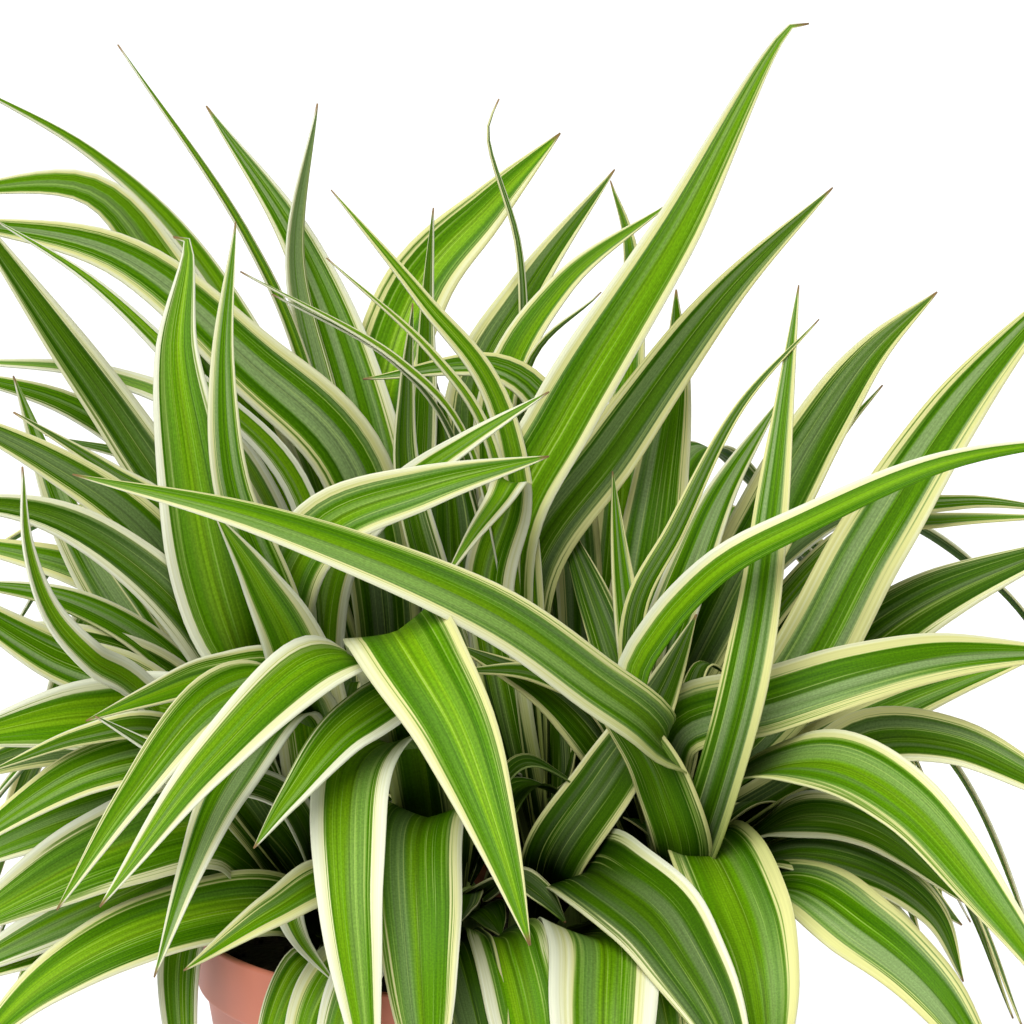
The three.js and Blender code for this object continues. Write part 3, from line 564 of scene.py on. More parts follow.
def peat_compost(settings):
    """Moist peat compost: nearly black, matt, clotted crumbs a millimetre or two across."""
    material = bpy.data.materials.new("moist_peat_compost")
    add = emptied(material)
    place = add("TexCoord").outputs["Object"]
    crumb = add("TexVoronoi", Vector=place, Scale=1 / COMPOST_CRUMB)
    fleck = add("TexNoise", Vector=place, Scale=1 / COMPOST_FLECK, Detail=4.0)
    tone = add("Mix", BLEND, i0=fleck, i6=settings.shade, i7=settings.colour)
    bump = add("Bump", {"invert": True}, Height=crumb, Strength=0.8, Distance=0.5 * MM)
    earth = add("BsdfPrincipled", Base_Color=tone, Roughness=0.93, Normal=bump)
    add("OutputMaterial", Surface=earth)
    return material


def blade_pattern(add, settings, dullness):
    """The colour of a variegated blade, and the height of its veins.

    The blade's own UV map runs across it and along it. Its look attribute holds how vivid it
    is, how dark, and how much of each half is cream. Its habit attribute holds how much more
    cream one side has, how white the cream is, and the seed of its streaks."""
    uv = add("UVMap", {"uv_map": "blade"}).outputs[0]
    look = add("Attribute", {"attribute_name": "look"}).outputs["Vector"]
    vivid, dark, cream = add("SeparateXYZ", i0=look).outputs
    habit = add("Attribute", {"attribute_name": "habit"}).outputs["Vector"]
    skew, whiteness, seed = add("SeparateXYZ", i0=habit).outputs
    across, along, _ = add("SeparateXYZ", i0=uv).outputs

    signed = add("Math", TIMES_PLUS, i0=across, i1=2.0, i2=-1.0)
    edge = add("Math", UNSIGNED, i0=signed)

    # Streaks run the blade's whole length and hardly change along it.
    shift = add("VectorMath", SCALED, i0=SEED_SHIFT, Scale=seed)
    noises = []
    for cells, detail in STREAKS:
        spread = add("VectorMath", TIMES_PLUS, i0=uv, i1=cells, i2=shift)
        noises.append(add("TexNoise", Vector=spread, Scale=1.0, Detail=detail, Roughness=0.6))
    band, streak, vein, grain = noises

    # Green, from the deep streaks to the light ones.
    light = add("MapRange", Value=streak, From_Min=0.34, From_Max=0.66)
    green = add("Mix", BLEND, i0=light, i6=settings.deep, i7=settings.green)
    # A yellow-green middle, which strays to either side and has ragged edges.
    strayed = add("Math", TIMES_PLUS, i0=band, i1=1.5, i2=-0.75)
    strayed = add("Math", PLUS, i0=strayed, i1=signed)
    strayed = add("Math", UNSIGNED, i0=strayed)
    ragged = add("Math", TIMES_PLUS, i0=streak, i1=0.9, i2=strayed)
    heart = add("MapRange", SMOOTH, Value=ragged, From_Min=0.95, From_Max=0.4)
    heart = add("Math", TIMES, i0=heart, i1=vivid)
    # Grey-green bands, where air under the skin hides the green.
    grey = add("MapRange", Value=band, From_Min=0.48, From_Max=0.59, To_Max=0.95)
    dullest = add("Math", LESS_TO_ZERO, i0=1.1 + dullness, i1=vivid)
    grey = add("Math", TIMES_TO_ONE, i0=grey, i1=dullest)
    # Painted shade: the foot, deep in the plant's shaded heart, is darkened toward the
    # painted-shade green, and a whole blade as far as its look's dark value says.
    depth = add("MapRange", SMOOTH, Value=along, From_Min=0.5, From_Max=0.1, To_Max=0.92)
    depth = add("Math", PLUS_TO_ONE, i0=depth, i1=dark)
    for share, tone in ((heart, settings.vivid), (grey, settings.grey), (depth, settings.painted_shade_green)):
        green = add("Mix", BLEND, i0=share, i6=green, i7=tone)
    # Fine veins, about a millimetre apart on a broad leaf.
    fine = add("MapRange", Value=vein, From_Min=0.3, From_Max=0.7, To_Min=0.72, To_Max=1.25)
    # Painted shade: the midrib is a narrow groove, darkened in its crease.
    groove_shade = add("MapRange", SMOOTH, Value=edge, From_Max=0.07, To_Min=0.72)
    # A fine grain, where the skin's cells catch the light.
    glint = add("MapRange", Value=grain, From_Min=0.35, From_Max=0.65, To_Min=0.88, To_Max=1.12)
    for factor in (groove_shade, glint):
        fine = add("Math", TIMES, i0=fine, i1=factor)
    green = add("VectorMath", SCALED, i0=green, Scale=fine)
    # Here and there a thin pale line runs down the green.
    line = add("MapRange", Value=vein, From_Min=0.6, From_Max=0.7, To_Max=0.55)
    green = add("Mix", BLEND, i0=line, i6=green, i7=settings.pale)

    # The cream margin wanders in and out, with streaks that leave it and run on alone. It lies
    # where its reach is over 1.
    reach = add("Math", TIMES_PLUS, i0=skew, i1=signed, i2=edge)
    for wandering, amount in ((band, 0.6), (streak, 0.6), (vein, 0.4)):
        wander = add("Math", TIMES_PLUS, i0=wandering, i1=amount, i2=-amount / 2)
        reach = add("Math", PLUS, i0=reach, i1=wander)
    # It is narrow near the foot, a painted shade: little cream shows in the shaded heart.
    grown = add(
        "MapRange", SMOOTH, Value=along, From_Min=0.05, From_Max=0.45, To_Min=-0.3, To_Max=0.0
    )
    cream = add("Math", PLUS, i0=cream, i1=grown)
    reach = add("Math", PLUS, i0=reach, i1=cream)
    border = add("MapRange", SMOOTH, Value=reach, From_Min=0.86, From_Max=1.0, To_Max=0.3)
    border = add("Mix", BLEND, i0=border, i6=green, i7=settings.pale)
    margin = add("MapRange", SMOOTH, Value=reach, From_Min=0.98, From_Max=1.03)
    # It is whiter further out, and creased along its veins.
    rim = add("MapRange", Value=reach, From_Min=1.0, From_Max=1.35)
    rim = add("Math", PLUS_TO_ONE, i0=rim, i1=whiteness)
    ivory = add("Mix", BLEND, i0=rim, i6=settings.cream, i7=settings.ivory)
    crease = add("MapRange", Value=vein, From_Min=0.3, From_Max=0.7, To_Min=0.88, To_Max=1.05)
    ivory = add("VectorMath", SCALED, i0=ivory, Scale=crease)
    # Painted shade: near the foot the cream is dulled to olive, as it looks in the shaded heart.
    margin_shade = add("MapRange", SMOOTH, Value=along, From_Min=0.55, From_Max=0.12, To_Max=0.85)
    ivory = add("Mix", BLEND, i0=margin_shade, i6=ivory, i7=settings.painted_shade_cream)
    coat = add("Mix", BLEND, i0=margin, i6=border, i7=ivory)

    # The foot is a little blanched, and the very tip is dry.
    blanched = add("MapRange", Value=along, From_Min=0.12, From_Max=0.0, To_Max=0.3)
    dry = add("MapRange", Value=along, From_Min=0.982, From_Max=0.995, To_Max=0.9)
    for share, tone in ((blanched, settings.pale), (dry, settings.dry)):
        coat = add("Mix", BLEND, i0=share, i6=coat, i7=tone)
    ribs = add("Math", TIMES_PLUS, i0=vein, i1=0.6, i2=streak)
    return coat, ribs


def living_leaf(name, settings, roughness, dullness):
    """Leaf: a waxy green skin over wet tissue that lets light through.

    It gives the eye long parallel streaks and veins, a soft waxy sheen broken by the veins,
    and a glow where the light comes from behind."""
    material = bpy.data.materials.new(name)
    add = emptied(material)
    coat, ribs = blade_pattern(add, settings, dullness)
    bump = add("Bump", Height=ribs, Strength=0.35, Distance=0.25 * MM)
    skin = add(
        "BsdfPrincipled", Base_Color=coat, Roughness=roughness, IOR=LEAF_IOR,
        Specular_IOR_Level=0.08, Normal=bump,
    )
    glow = add("BsdfTranslucent", Color=coat, Normal=bump)
    leaf = add("MixShader", i0=settings.translucency, i1=skin, i2=glow)
    add("OutputMaterial", Surface=leaf)
    return material


def leaf_sheath(settings):
    """The crown's sheathing leaf bases: firm, pale green to nearly white, ribbed lengthways."""
    material = bpy.data.materials.new("blanched_leaf_sheath")
    add = emptied(material)
    place = add("TexCoord").outputs["Object"]
    stretched = add("Mapping", Vector=place, Scale=[1 / size for size in SHEATH_RIB])
    rib = add("TexNoise", Vector=stretched, Scale=1.0, Detail=2.0)
    tone = add("Mix", BLEND, i0=rib, i6=settings.deep, i7=settings.pale)
    bump = add("Bump", Height=rib, Strength=0.5, Distance=0.4 * MM)
    sheath = add("BsdfPrincipled", Base_Color=tone, Roughness=0.5, IOR=LEAF_IOR, Normal=bump)
    add("OutputMaterial", Surface=sheath)
    return material


# ---- shapes -------------------------------------------------------------------------------


def add_object(name, mesh, node_name):
    """Puts a finished mesh in the scene, riding on the plant in place of its CAD node."""
    thing = bpy.data.objects.new(name, mesh)
    bpy.context.scene.collection.objects.link(thing)
    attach(thing, "root")
    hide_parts(node_name)
    return thing


def spin_outline(outline, steps):
    """A closed bmesh, turned about Z from an outline of (radius, height) that starts and ends
    on the axis, in millimetres."""
    shell = bmesh.new()
    corners = [shell.verts.new((radius * MM, 0, height * MM)) for radius, height in outline]
    edges = [shell.edges.new(pair) for pair in zip(corners, corners[1:])]
    bmesh.ops.spin(
        shell, geom=corners + edges, axis=(0, 0, 1), cent=(0, 0, 0),
        angle=2 * math.pi, steps=steps, use_merge=True,
    )
    bmesh.ops.remove_doubles(shell, verts=shell.verts, dist=SAME_PLACE)
    bmesh.ops.dissolve_degenerate(shell, edges=shell.edges, dist=NO_LENGTH)
    bmesh.ops.recalc_face_normals(shell, faces=shell.faces)
    return shell


def arc(centre_radius, centre_height, radius, start, end, steps):
    """Points of a circle's arc in an outline's plane, from one angle to another in degrees."""
    angles = np.radians(np.linspace(start, end, steps + 1))
    return [
        (centre_radius + radius * math.cos(a), centre_height + radius * math.sin(a))
        for a in angles
    ]


def finished_mesh(name, shape, materials, smooth_angle):
    """Turns a bmesh into a mesh with its materials, smooth where its faces meet flatly."""
    for face in shape.faces:
        face.smooth = True
    for edge in shape.edges:
        edge.smooth = not edge.is_manifold or edge.calc_face_angle(0) < math.radians(smooth_angle)
    mesh = bpy.data.meshes.new(name)
    shape.to_mesh(mesh)
    shape.free()
    for material in materials:
        mesh.materials.append(material)
    return mesh


# ---- blades -------------------------------------------------------------------------------


def standing(points):
    """Where points of the reading view stand, in the plant's frame."""
    across, up, behind = np.array(points, float).T[:, :, None]
    rays = (
        (across - VIEW_ACROSS) * VIEW_RIGHT
        + (up - VIEW_UP) * VIEW_TOP
        + VIEW_DISTANCE * VIEW_AHEAD
    )
    return EYE + rays * (behind - EYE[1]) / rays[:, 1:2]


def arch_points(crown, azimuth, reach, rise, fall):
    """The midrib's points beyond the foot, for a leaf that is given by its arch."""
    angle = math.radians(azimuth)
    return np.array([
        (
            crown[0] + out * reach * math.cos(angle),
            crown[1] + out * reach * math.sin(angle),
            POT_HEIGHT + rise * risen + (fall - rise) * fallen,
        )
        for out, risen, fallen in ARCH
    ])


def foot_of(crown, towards):
    """Where a leaf leaves its crown: on the side it grows to, the higher the steeper it is."""
    base = np.array([*crown, SOIL_LEVEL + ROOT_LIFT])
    heading = towards - base
    heading /= np.linalg.norm(heading)
    side = np.array([heading[0], heading[1], 0]) * ROOT_OFFSET
    return base + side + np.array([0, 0, ROOT_RISE * max(heading[2], 0) ** 2])


def midrib(points):
    """A centripetal Catmull-Rom curve through the points, evenly spaced at FINE_SHARES."""
    points = np.vstack([2 * points[0] - points[1], points, 2 * points[-1] - points[-2]])
    t = np.linspace(0, 1, CURVE_STEPS, endpoint=False)[:, None]
    pieces = []
    for before, start, end, after in zip(points, points[1:], points[2:], points[3:]):
        d0, d1, d2 = (
            math.sqrt(np.linalg.norm(b - a))
            for a, b in ((before, start), (start, end), (end, after))
        )
        leaving = (start - before) / d0 - (end - before) / (d0 + d1) + (end - start) / d1
        arriving = (end - start) / d1 - (after - start) / (d1 + d2) + (after - end) / d2
        pieces.append(
            (2 * t**3 - 3 * t**2 + 1) * start
            + (t**3 - 2 * t**2 + t) * leaving * d1
            + (3 * t**2 - 2 * t**3) * end
            + (t**3 - t**2) * arriving * d1
        )
    curve = np.vstack([*pieces, points[-2]])
    steps = np.linalg.norm(np.diff(curve, axis=0), axis=1)
    length = np.concatenate([[0], np.cumsum(steps)])
    even = FINE_SHARES * length[-1]
    return np.stack([np.interp(even, length, curve[:, k]) for k in range(3)], axis=1)


def profile(pairs):
    """A profile at FINE_SHARES, with its corners rounded."""
    values = np.interp(FINE_SHARES, *zip(*pairs))
    spread = np.arange(-3 * PROFILE_BLUR, 3 * PROFILE_BLUR + 1)
    weight = np.exp(-0.5 * (spread / PROFILE_BLUR) ** 2)
    padded = np.concatenate([
        2 * values[0] - values[len(spread) // 2 : 0 : -1],
        values,
        2 * values[-1] - values[-2 : -2 - len(spread) // 2 : -1],
    ])
    return np.convolve(padded, weight / weight.sum(), mode="valid")


def unit(vectors):
    return vectors / np.linalg.norm(vectors, axis=-1, keepdims=True)


def blade_frame(crown, width, facing, beyond):
    """A blade's midrib, the direction across it, its upper side, half-width and fold."""
    foot = foot_of(crown, beyond[0])
    spine = midrib(np.vstack([foot, beyond]))
    along = unit(np.gradient(spine, axis=0))
    tip = spine[-1]
    outward = unit(np.array([tip[0] - crown[0], tip[1] - crown[1], 0.0]))
    grown = unit(np.cross(along, np.cross((0, 0, 1), outward)))
    to_eye = EYE - spine
    to_eye = unit(to_eye - along * (to_eye * along).sum(axis=1, keepdims=True))
    values = facing if isinstance(facing, list) else [facing, facing]
    near, far, start, lean = values + [TWIST_START, 0][len(values) - 2 :]
    turn = np.clip((FINE_SHARES - start) / TWIST_SPAN, 0, 1)[:, None]
    turn = turn**2 * (3 - 2 * turn)
    face = near + (far - near) * turn
    normal = grown * (1 - abs(face)) + to_eye * face
    normal = unit(normal - along * (normal * along).sum(axis=1, keepdims=True))
    side = np.cross(along, normal)
    lean = np.radians(lean) * (1 - turn)
    normal = normal * np.cos(lean) + side * np.sin(lean)
    side = np.cross(along, normal)
    greatest, bluntness = width if isinstance(width, list) else (width, 1)
    shares = np.interp(FINE_SHARES**bluntness, FINE_SHARES, profile(WIDTH_PROFILE))
    half = np.maximum(shares, NARROWEST) * greatest / 2
    fold = np.radians(profile(FOLD_PROFILE))
    return spine, side, normal, half, fold


class BladeSheet:
    """A flat grid, whose places across and along a blade are read once for all of them."""

    def __init__(self, columns, rows):
        grid = bmesh.new()
        grid.loops.layers.uv.new("blade")
        bmesh.ops.create_grid(grid, x_segments=columns, y_segments=rows, size=1, calc_uvs=True)
        places = np.array([vert.co[:2] for vert in grid.verts])
        self.across = places[:, 0]
        self.share = (places[:, 1] + 1) / 2
        self.mesh = bpy.data.meshes.new("blade_sheet")
        grid.to_mesh(self.mesh)
        grid.free()

    def bent(self, leaf_frame, height, waves, phase):
        """The grid's corners laid on a blade with so many waves of a height, in metres."""
        spine, side, normal, half, fold = leaf_frame
        at = self.share * (len(FINE_SHARES) - 1)
        low = np.minimum(at.astype(int), len(FINE_SHARES) - 2)
        part = (at - low)[:, None]
        spine, side, normal = (
            row[low] * (1 - part) + row[low + 1] * part for row in (spine, side, normal)
        )
        half, fold = (
            row[low] * (1 - part[:, 0]) + row[low + 1] * part[:, 0] for row in (half, fold)
        )
        reach = self.across * half * np.cos(fold)
        lift = half * np.sin(fold) * np.abs(self.across) ** FOLD_CURVE
        shift = WAVE_SHIFT * np.sign(self.across)
        ripple = np.sin(2 * math.pi * waves * self.share + phase + shift)
        lift = lift + height * half * self.across**2 * ripple
        return (spine + side * reach[:, None] + normal * lift[:, None]) * MM


def add_blade(shape, sheet, leaf_frame, look, habit, wave):
    """Adds one blade to a rosette's bmesh, with its look and its habit on every corner."""
    first = len(shape.verts)
    shape.from_mesh(sheet.mesh)
    shape.verts.ensure_lookup_table()
    seed = habit[2]
    places = sheet.bent(leaf_frame, wave, WAVES + seed % MORE_WAVES, seed)
    look_layer = shape.verts.layers.float_vector["look"]
    habit_layer = shape.verts.layers.float_vector["habit"]
    for vert, place in zip(shape.verts[first:], places):
        vert.co = place
        vert[look_layer] = look
        vert[habit_layer] = habit


def heart_leaves(chance):
    """Width and arch of the short inner leaves that fill a rosette's heart."""
    leaves = []
    for i in range(HEART_LEAVES):
        azimuth = HEART_TURN * i + chance.uniform(-HEART_STRAY, HEART_STRAY)
        in_front = max(-math.sin(math.radians(azimuth)), 0)
        reach = chance.uniform(*HEART_REACH) * (1 - HEART_SHORTER * in_front)
        rise = chance.uniform(*HEART_RISE) * (1 - HEART_LOWER * in_front)
        width = chance.uniform(*HEART_WIDTH)
        leaves.append((width, azimuth, reach, rise, rise - HEART_DROOP * reach))
    return leaves


def make_blades(name, materials, sheet, settings):
    """Every blade of one rosette, in place of the rosette's CAD node."""
    shape = bmesh.new()
    shape.loops.layers.uv.new("blade")
    shape.verts.layers.float_vector.new("look")
    shape.verts.layers.float_vector.new("habit")
    chance = random.Random(name)
    crown = CROWNS[name]
    leaves = [
        (look, width, facing, standing(points))
        for look, width, facing, *points in SEEN_LEAVES[name] + LESSER_LEAVES[name]
    ] + [
        (chance.choice(HIDDEN_LOOKS), width, 0, arch_points(crown, *arch))
        for width, *arch in HIDDEN_LEAVES.get(name, []) + LESSER_ARCHES.get(name, [])
    ] + [
        # Painted shade: the heart's short leaves all take the dark shade look.
        ("shade", width, 0, arch_points(crown, *arch)) for width, *arch in heart_leaves(chance)
    ]
    for look, width, facing, beyond in leaves:
        vivid, dark, cream, skew = LOOKS[look]
        cream += chance.uniform(-CREAM_SPREAD, CREAM_SPREAD)
        whiteness = chance.uniform(*WHITENESS[name])
        skew += chance.uniform(-SKEW_SPREAD, SKEW_SPREAD)
        habit = (skew, whiteness, chance.uniform(0, STREAK_SEEDS))
        leaf_frame = blade_frame(crown, width, facing, beyond)
        add_blade(shape, sheet, leaf_frame, (vivid, dark, cream), habit, settings.wave)
    mesh = finished_mesh("blades_" + name, shape, materials, smooth_angle=180)
    blades = add_object("blades_" + name, mesh, "rosette_" + name)
    body = blades.modifiers.new("thickness", "SOLIDIFY")
    body.thickness = settings.thickness
    body.offset = 0
    body.material_offset = 1


def make_crown(name, material):
    """A rosette's crown: a barrel of sheathing leaf bases, standing in the soil."""
    outline = [
        (0, -CROWN_DEPTH), (CROWN_RADIUS - 1.5, -CROWN_DEPTH), (CROWN_RADIUS, 1 - CROWN_DEPTH),
        (CROWN_RADIUS, -1), (CROWN_RADIUS - 0.5, 5), (CROWN_RADIUS - 1.6, 13),
        (CROWN_NECK + 0.4, CROWN_HEIGHT - 4), (CROWN_NECK - 1.4, CROWN_HEIGHT - 0.4),
        (0, CROWN_HEIGHT),
    ]
    barrel = spin_outline(outline, CROWN_STEPS)
    bmesh.ops.subdivide_edges(barrel, edges=barrel.edges, cuts=1, use_grid_fill=True)
    for vert in barrel.verts:
        angle = math.atan2(vert.co.y, vert.co.x)
        height = vert.co.z / (CROWN_HEIGHT * MM)
        ridge = abs(math.sin(CROWN_SHEATHS * angle / 2 + SHEATH_TWIST * height))
        swell = 1 - SHEATH_DEPTH * ridge * min(max(height + SHEATH_START, 0), 1)
        vert.co.x *= swell
        vert.co.y *= swell
    x, y = CROWNS[name]
    bmesh.ops.translate(barrel, vec=(x * MM, y * MM, SOIL_LEVEL * MM), verts=barrel.verts)
    mesh = finished_mesh("crown_" + name, barrel, [material], smooth_angle=60)
    crown = add_object("crown_" + name, mesh, "rosette_" + name)


# ---- pot and soil -------------------------------------------------------------------------

BAND_FOOT = POT_HEIGHT - BAND_HEIGHT
WALL_TOP_RADIUS = RIM_RADIUS - BAND_TAPER - BAND_STEP
WALL_SLOPE = (WALL_TOP_RADIUS - FOOT_RADIUS) / BAND_FOOT


def inner_radius(height):
    """The pot's inner radius, at a height above its floor."""
    return FOOT_RADIUS + WALL_SLOPE * height - POT_WALL


def make_pot(material):
    """The thin-walled pot: tapered wall, upright rim band, rolled lip and drained floor."""
    wall_foot = FOOT_RADIUS + FOOT_FLARE
    lean = WALL_TOP_RADIUS - FOOT_RADIUS - FOOT_FLARE
    band_middle = RIM_RADIUS - BAND_TAPER - BAND_ROUND
    outline = [
        (0, FOOT_HOLLOW), (FOOT_RADIUS - FOOT_RING - FOOT_HOLLOW, FOOT_HOLLOW),
        (FOOT_RADIUS - FOOT_RING, 0),
        *arc(FOOT_RADIUS - FOOT_ROUND, FOOT_ROUND, FOOT_ROUND, -90, -10, 8),
        *[(wall_foot + lean * share, height) for share, height in WALL_POINTS],
        *[(WALL_TOP_RADIUS + out, BAND_FOOT + up) for out, up in BAND_CORNER],
        *arc(band_middle, BAND_FOOT + BAND_ROUND, BAND_ROUND, -90, 0, 6),
        (RIM_RADIUS - BAND_TAPER / 2, BAND_FOOT + BAND_HEIGHT / 2),
        *arc(RIM_RADIUS - LIP_RADIUS, POT_HEIGHT - LIP_RADIUS, LIP_RADIUS, 0, 180, 12),
        (RIM_RADIUS - BAND_TAPER - 2 * LIP_RADIUS, BAND_FOOT + SHOULDER),
        (inner_radius(BAND_FOOT - SHOULDER), BAND_FOOT - SHOULDER),
        (inner_radius(POT_HEIGHT / 2), POT_HEIGHT / 2),
        (inner_radius(INNER_CHAMFER), POT_FLOOR + INNER_CHAMFER),
        (inner_radius(0) - 1, POT_FLOOR + 1), (inner_radius(0) - INNER_CHAMFER, POT_FLOOR),
        (0, POT_FLOOR),
    ]
    shell = spin_outline(outline, POT_STEPS)
    mesh = finished_mesh("pot", shell, [material], smooth_angle=32)
    pot = add_object("nursery_pot", mesh, "pot")
    drill_drain_holes(pot)


def drill_drain_holes(pot):
    """Cuts the ring of drainage holes through the pot's floor."""
    drills = bmesh.new()
    for i in range(DRAIN_HOLES):
        angle = (i + 0.5) * 2 * math.pi / DRAIN_HOLES
        place = Vector((math.cos(angle), math.sin(angle), 0)) * DRAIN_CIRCLE * MM
        bmesh.ops.create_cone(
            drills, cap_ends=True, segments=DRILL_STEPS, radius1=DRAIN_RADIUS * MM,
            radius2=DRAIN_RADIUS * MM, depth=4 * POT_FLOOR * MM,
            matrix=Matrix.Translation(place),
        )
    mesh = bpy.data.meshes.new("drills")
    drills.to_mesh(mesh)
    drills.free()
    cutter = bpy.data.objects.new("drills", mesh)
    bpy.context.scene.collection.objects.link(cutter)
    cut = pot.modifiers.new("drain holes", "BOOLEAN")
    cut.operation = "DIFFERENCE"
    cut.solver = "EXACT"
    cut.object = cutter
    drilled = bpy.data.meshes.new_from_object(
        pot.evaluated_get(bpy.context.evaluated_depsgraph_get())
    )
    pot.modifiers.clear()
    pot.data = drilled
    bpy.data.objects.remove(cutter)
    bpy.data.meshes.remove(mesh)


def make_soil(material, settings):
    """The compost: a plug that fills the pot to under its rim, with crumbs on its top."""
    chance = random.Random("soil")
    top = inner_radius(SOIL_LEVEL) - CLEARANCE
    bottom = POT_FLOOR + CLEARANCE
    outline = [
        (0, bottom), (inner_radius(0) - INNER_CHAMFER - CLEARANCE, bottom),
        (inner_radius(INNER_CHAMFER) - CLEARANCE, bottom + INNER_CHAMFER),
        *[
            (share * top, SOIL_LEVEL + SOIL_DOME * (1 - share**2))
            for share in np.linspace(1, 0, SOIL_RINGS)
        ],
    ]
    plug = spin_outline(outline, SOIL_STEPS)
    for vert in plug.verts:
        reach = math.hypot(vert.co.x, vert.co.y) / (top * MM)
        if vert.co.z < (SOIL_LEVEL - SOIL_SKIN) * MM or reach > SOIL_EDGE:
            continue
        lump = noise.fractal(vert.co / (SOIL_LUMP * MM), *LUMP_NOISE) - LUMP_MIDDLE
        vert.co.z += settings.roughness * lump * min(1, LUMP_FADE * (1 - reach))
    for _ in range(settings.crumbs):
        reach = top * CRUMB_SPREAD * math.sqrt(chance.random())
        angle = chance.uniform(0, 2 * math.pi)
        x, y = reach * math.cos(angle), reach * math.sin(angle)
        nearest = min(math.hypot(x - cx, y - cy) for cx, cy in CROWNS.values())
        if nearest < CROWN_RADIUS + CRUMB_GAP:
            continue
        size = chance.uniform(*CRUMB_SIZE)
        height = SOIL_LEVEL + SOIL_DOME * (1 - (reach / top) ** 2) - CRUMB_SUNK
        crumb = bmesh.ops.create_icosphere(
            plug, subdivisions=1, radius=size * MM,
            matrix=Matrix.Translation((x * MM, y * MM, height * MM))
            @ Matrix.Rotation(chance.uniform(0, CRUMB_TURN), 4, Vector(CRUMB_AXIS).normalized())
            @ Matrix.Diagonal(
                (1, chance.uniform(*CRUMB_BREADTH), chance.uniform(*CRUMB_HEIGHT), 1)
            ),
        )
        for vert in crumb["verts"]:
            stray = [chance.uniform(-CRUMB_ROUGH, CRUMB_ROUGH) * size * MM for _ in range(3)]
            vert.co += Vector(stray)
    mesh = finished_mesh("compost", plug, [material], smooth_angle=50)
    soil = add_object("compost", mesh, "potting_soil")


# ---- settings -----------------------------------------------------------------------------


def colour_setting(name, description, default):
    """A colour that is kept as an sRGB hex value."""
    return StringProperty(name=name, description=description, default=default, maxlen=7)


class PotSettings(bpy.types.PropertyGroup):
    """The pot's plastic."""

    colour: colour_setting("Plastic", "The moulded plastic's lighter tone", "#C0745B")
    shade: colour_setting("Plastic shade", "The plastic's darker tone", "#A9604A")
    bloom: colour_setting("Bloom", "Chalky bloom low on the wall", "#D9B3A2")


class SoilSettings(bpy.types.PropertyGroup):
    """The compost."""

    colour: colour_setting("Compost", "The compost's lighter crumbs", "#3A2A1E")
    shade: colour_setting("Compost shade", "The compost's damp hollows", "#1A120C")
    roughness: FloatProperty(
        name="Roughness", description="Height of the lumps on top", default=1.3 * MM,
        min=0, max=3 * MM, unit="LENGTH",
    )
    crumbs: IntProperty(
        name="Crumbs", description="Loose crumbs scattered on top", default=170, min=0, max=600
    )


class LeafSettings(bpy.types.PropertyGroup):
    """The blades."""

    vivid: colour_setting("Vivid green", "The middle of a sunlit blade", "#7DAA10")
    green: colour_setting("Green", "The light streaks of the green part", "#5E9206")
    deep: colour_setting("Deep green", "The dark streaks of the green part", "#3A6A02")
    # Painted shade: the near-black green that shaded feet and blades are darkened toward.
    painted_shade_green: colour_setting("Darkest green", "A blade in its deepest tone", "#0F2401")
    grey: colour_setting("Grey green", "The bands with air under the skin", "#8CA668")
    pale: colour_setting("Pale green", "Along the margin, and at the foot", "#B5C46C")
    # Painted shade: the olive that the cream is dulled to near the foot, in the shaded heart.
    painted_shade_cream: colour_setting("Greenish cream", "The margin near the foot", "#7F9036")
    cream: colour_setting("Cream", "The inner part of the margin", "#D8D792")
    ivory: colour_setting("Ivory", "The outer part of the margin", "#E2E4CC")
    dry: colour_setting("Dry tip", "A withered tip", "#8A6A45")
    thickness: FloatProperty(
        name="Thickness", description="Thickness of a blade", default=0.4 * MM,
        min=0.2 * MM, max=1 * MM, unit="LENGTH",
    )
    wave: FloatProperty(
        name="Wave", description="How much a margin waves, as a share of the half-width",
        default=0.06, min=0, max=0.3, subtype="FACTOR",
    )
    translucency: FloatProperty(
        name="Translucency", description="Share of the light that goes through a blade",
        default=0.3, min=0, max=1, subtype="FACTOR",
    )


class StageSettings(bpy.types.PropertyGroup):
    """The floor and the lights."""

    floor: colour_setting("Floor", "The pale floor", "#F4F4F4")
    key: FloatProperty(
        name="Key light", description="Strength of the soft light over the front",
        default=5.1, min=0, max=20,
    )
    fill: FloatProperty(
        name="Surround", description="Strength of the light from all around",
        default=0.24, min=0, max=4,
    )


# ---- operators ----------------------------------------------------------------------------


class SPIDERPLANT_OT_pot(bpy.types.Operator):
    """Make the nursery pot"""

    bl_idname = "spiderplant.pot"
    bl_label = "Nursery pot"

    def execute(self, context):
        make_pot(terracotta_plastic(context.scene.spiderplant_pot))
        return {"FINISHED"}


class SPIDERPLANT_OT_soil(bpy.types.Operator):
    """Fill the pot with compost"""

    bl_idname = "spiderplant.soil"
    bl_label = "Compost"

    def execute(self, context):
        settings = context.scene.spiderplant_soil
        make_soil(peat_compost(settings), settings)
        return {"FINISHED"}


class SPIDERPLANT_OT_crowns(bpy.types.Operator):
    """Plant the six crowns"""

    bl_idname = "spiderplant.crowns"
    bl_label = "Crowns"

    def execute(self, context):
        sheath = leaf_sheath(context.scene.spiderplant_leaf)
        for name in CROWNS:
            make_crown(name, sheath)
        return {"FINISHED"}


class SPIDERPLANT_OT_blades(bpy.types.Operator):
    """Grow the blades of the six rosettes"""

    bl_idname = "spiderplant.blades"
    bl_label = "Blades"

    def execute(self, context):
        settings = context.scene.spiderplant_leaf
        materials = [
            living_leaf("leaf_upper_skin", settings, roughness=0.42, dullness=0.0),
            living_leaf("leaf_underside", settings, roughness=0.55, dullness=0.25),
        ]
        sheet = BladeSheet(BLADE_COLUMNS, BLADE_ROWS)
        for name in CROWNS:
            make_blades(name, materials, sheet, settings)
        bpy.data.meshes.remove(sheet.mesh)
        return {"FINISHED"}


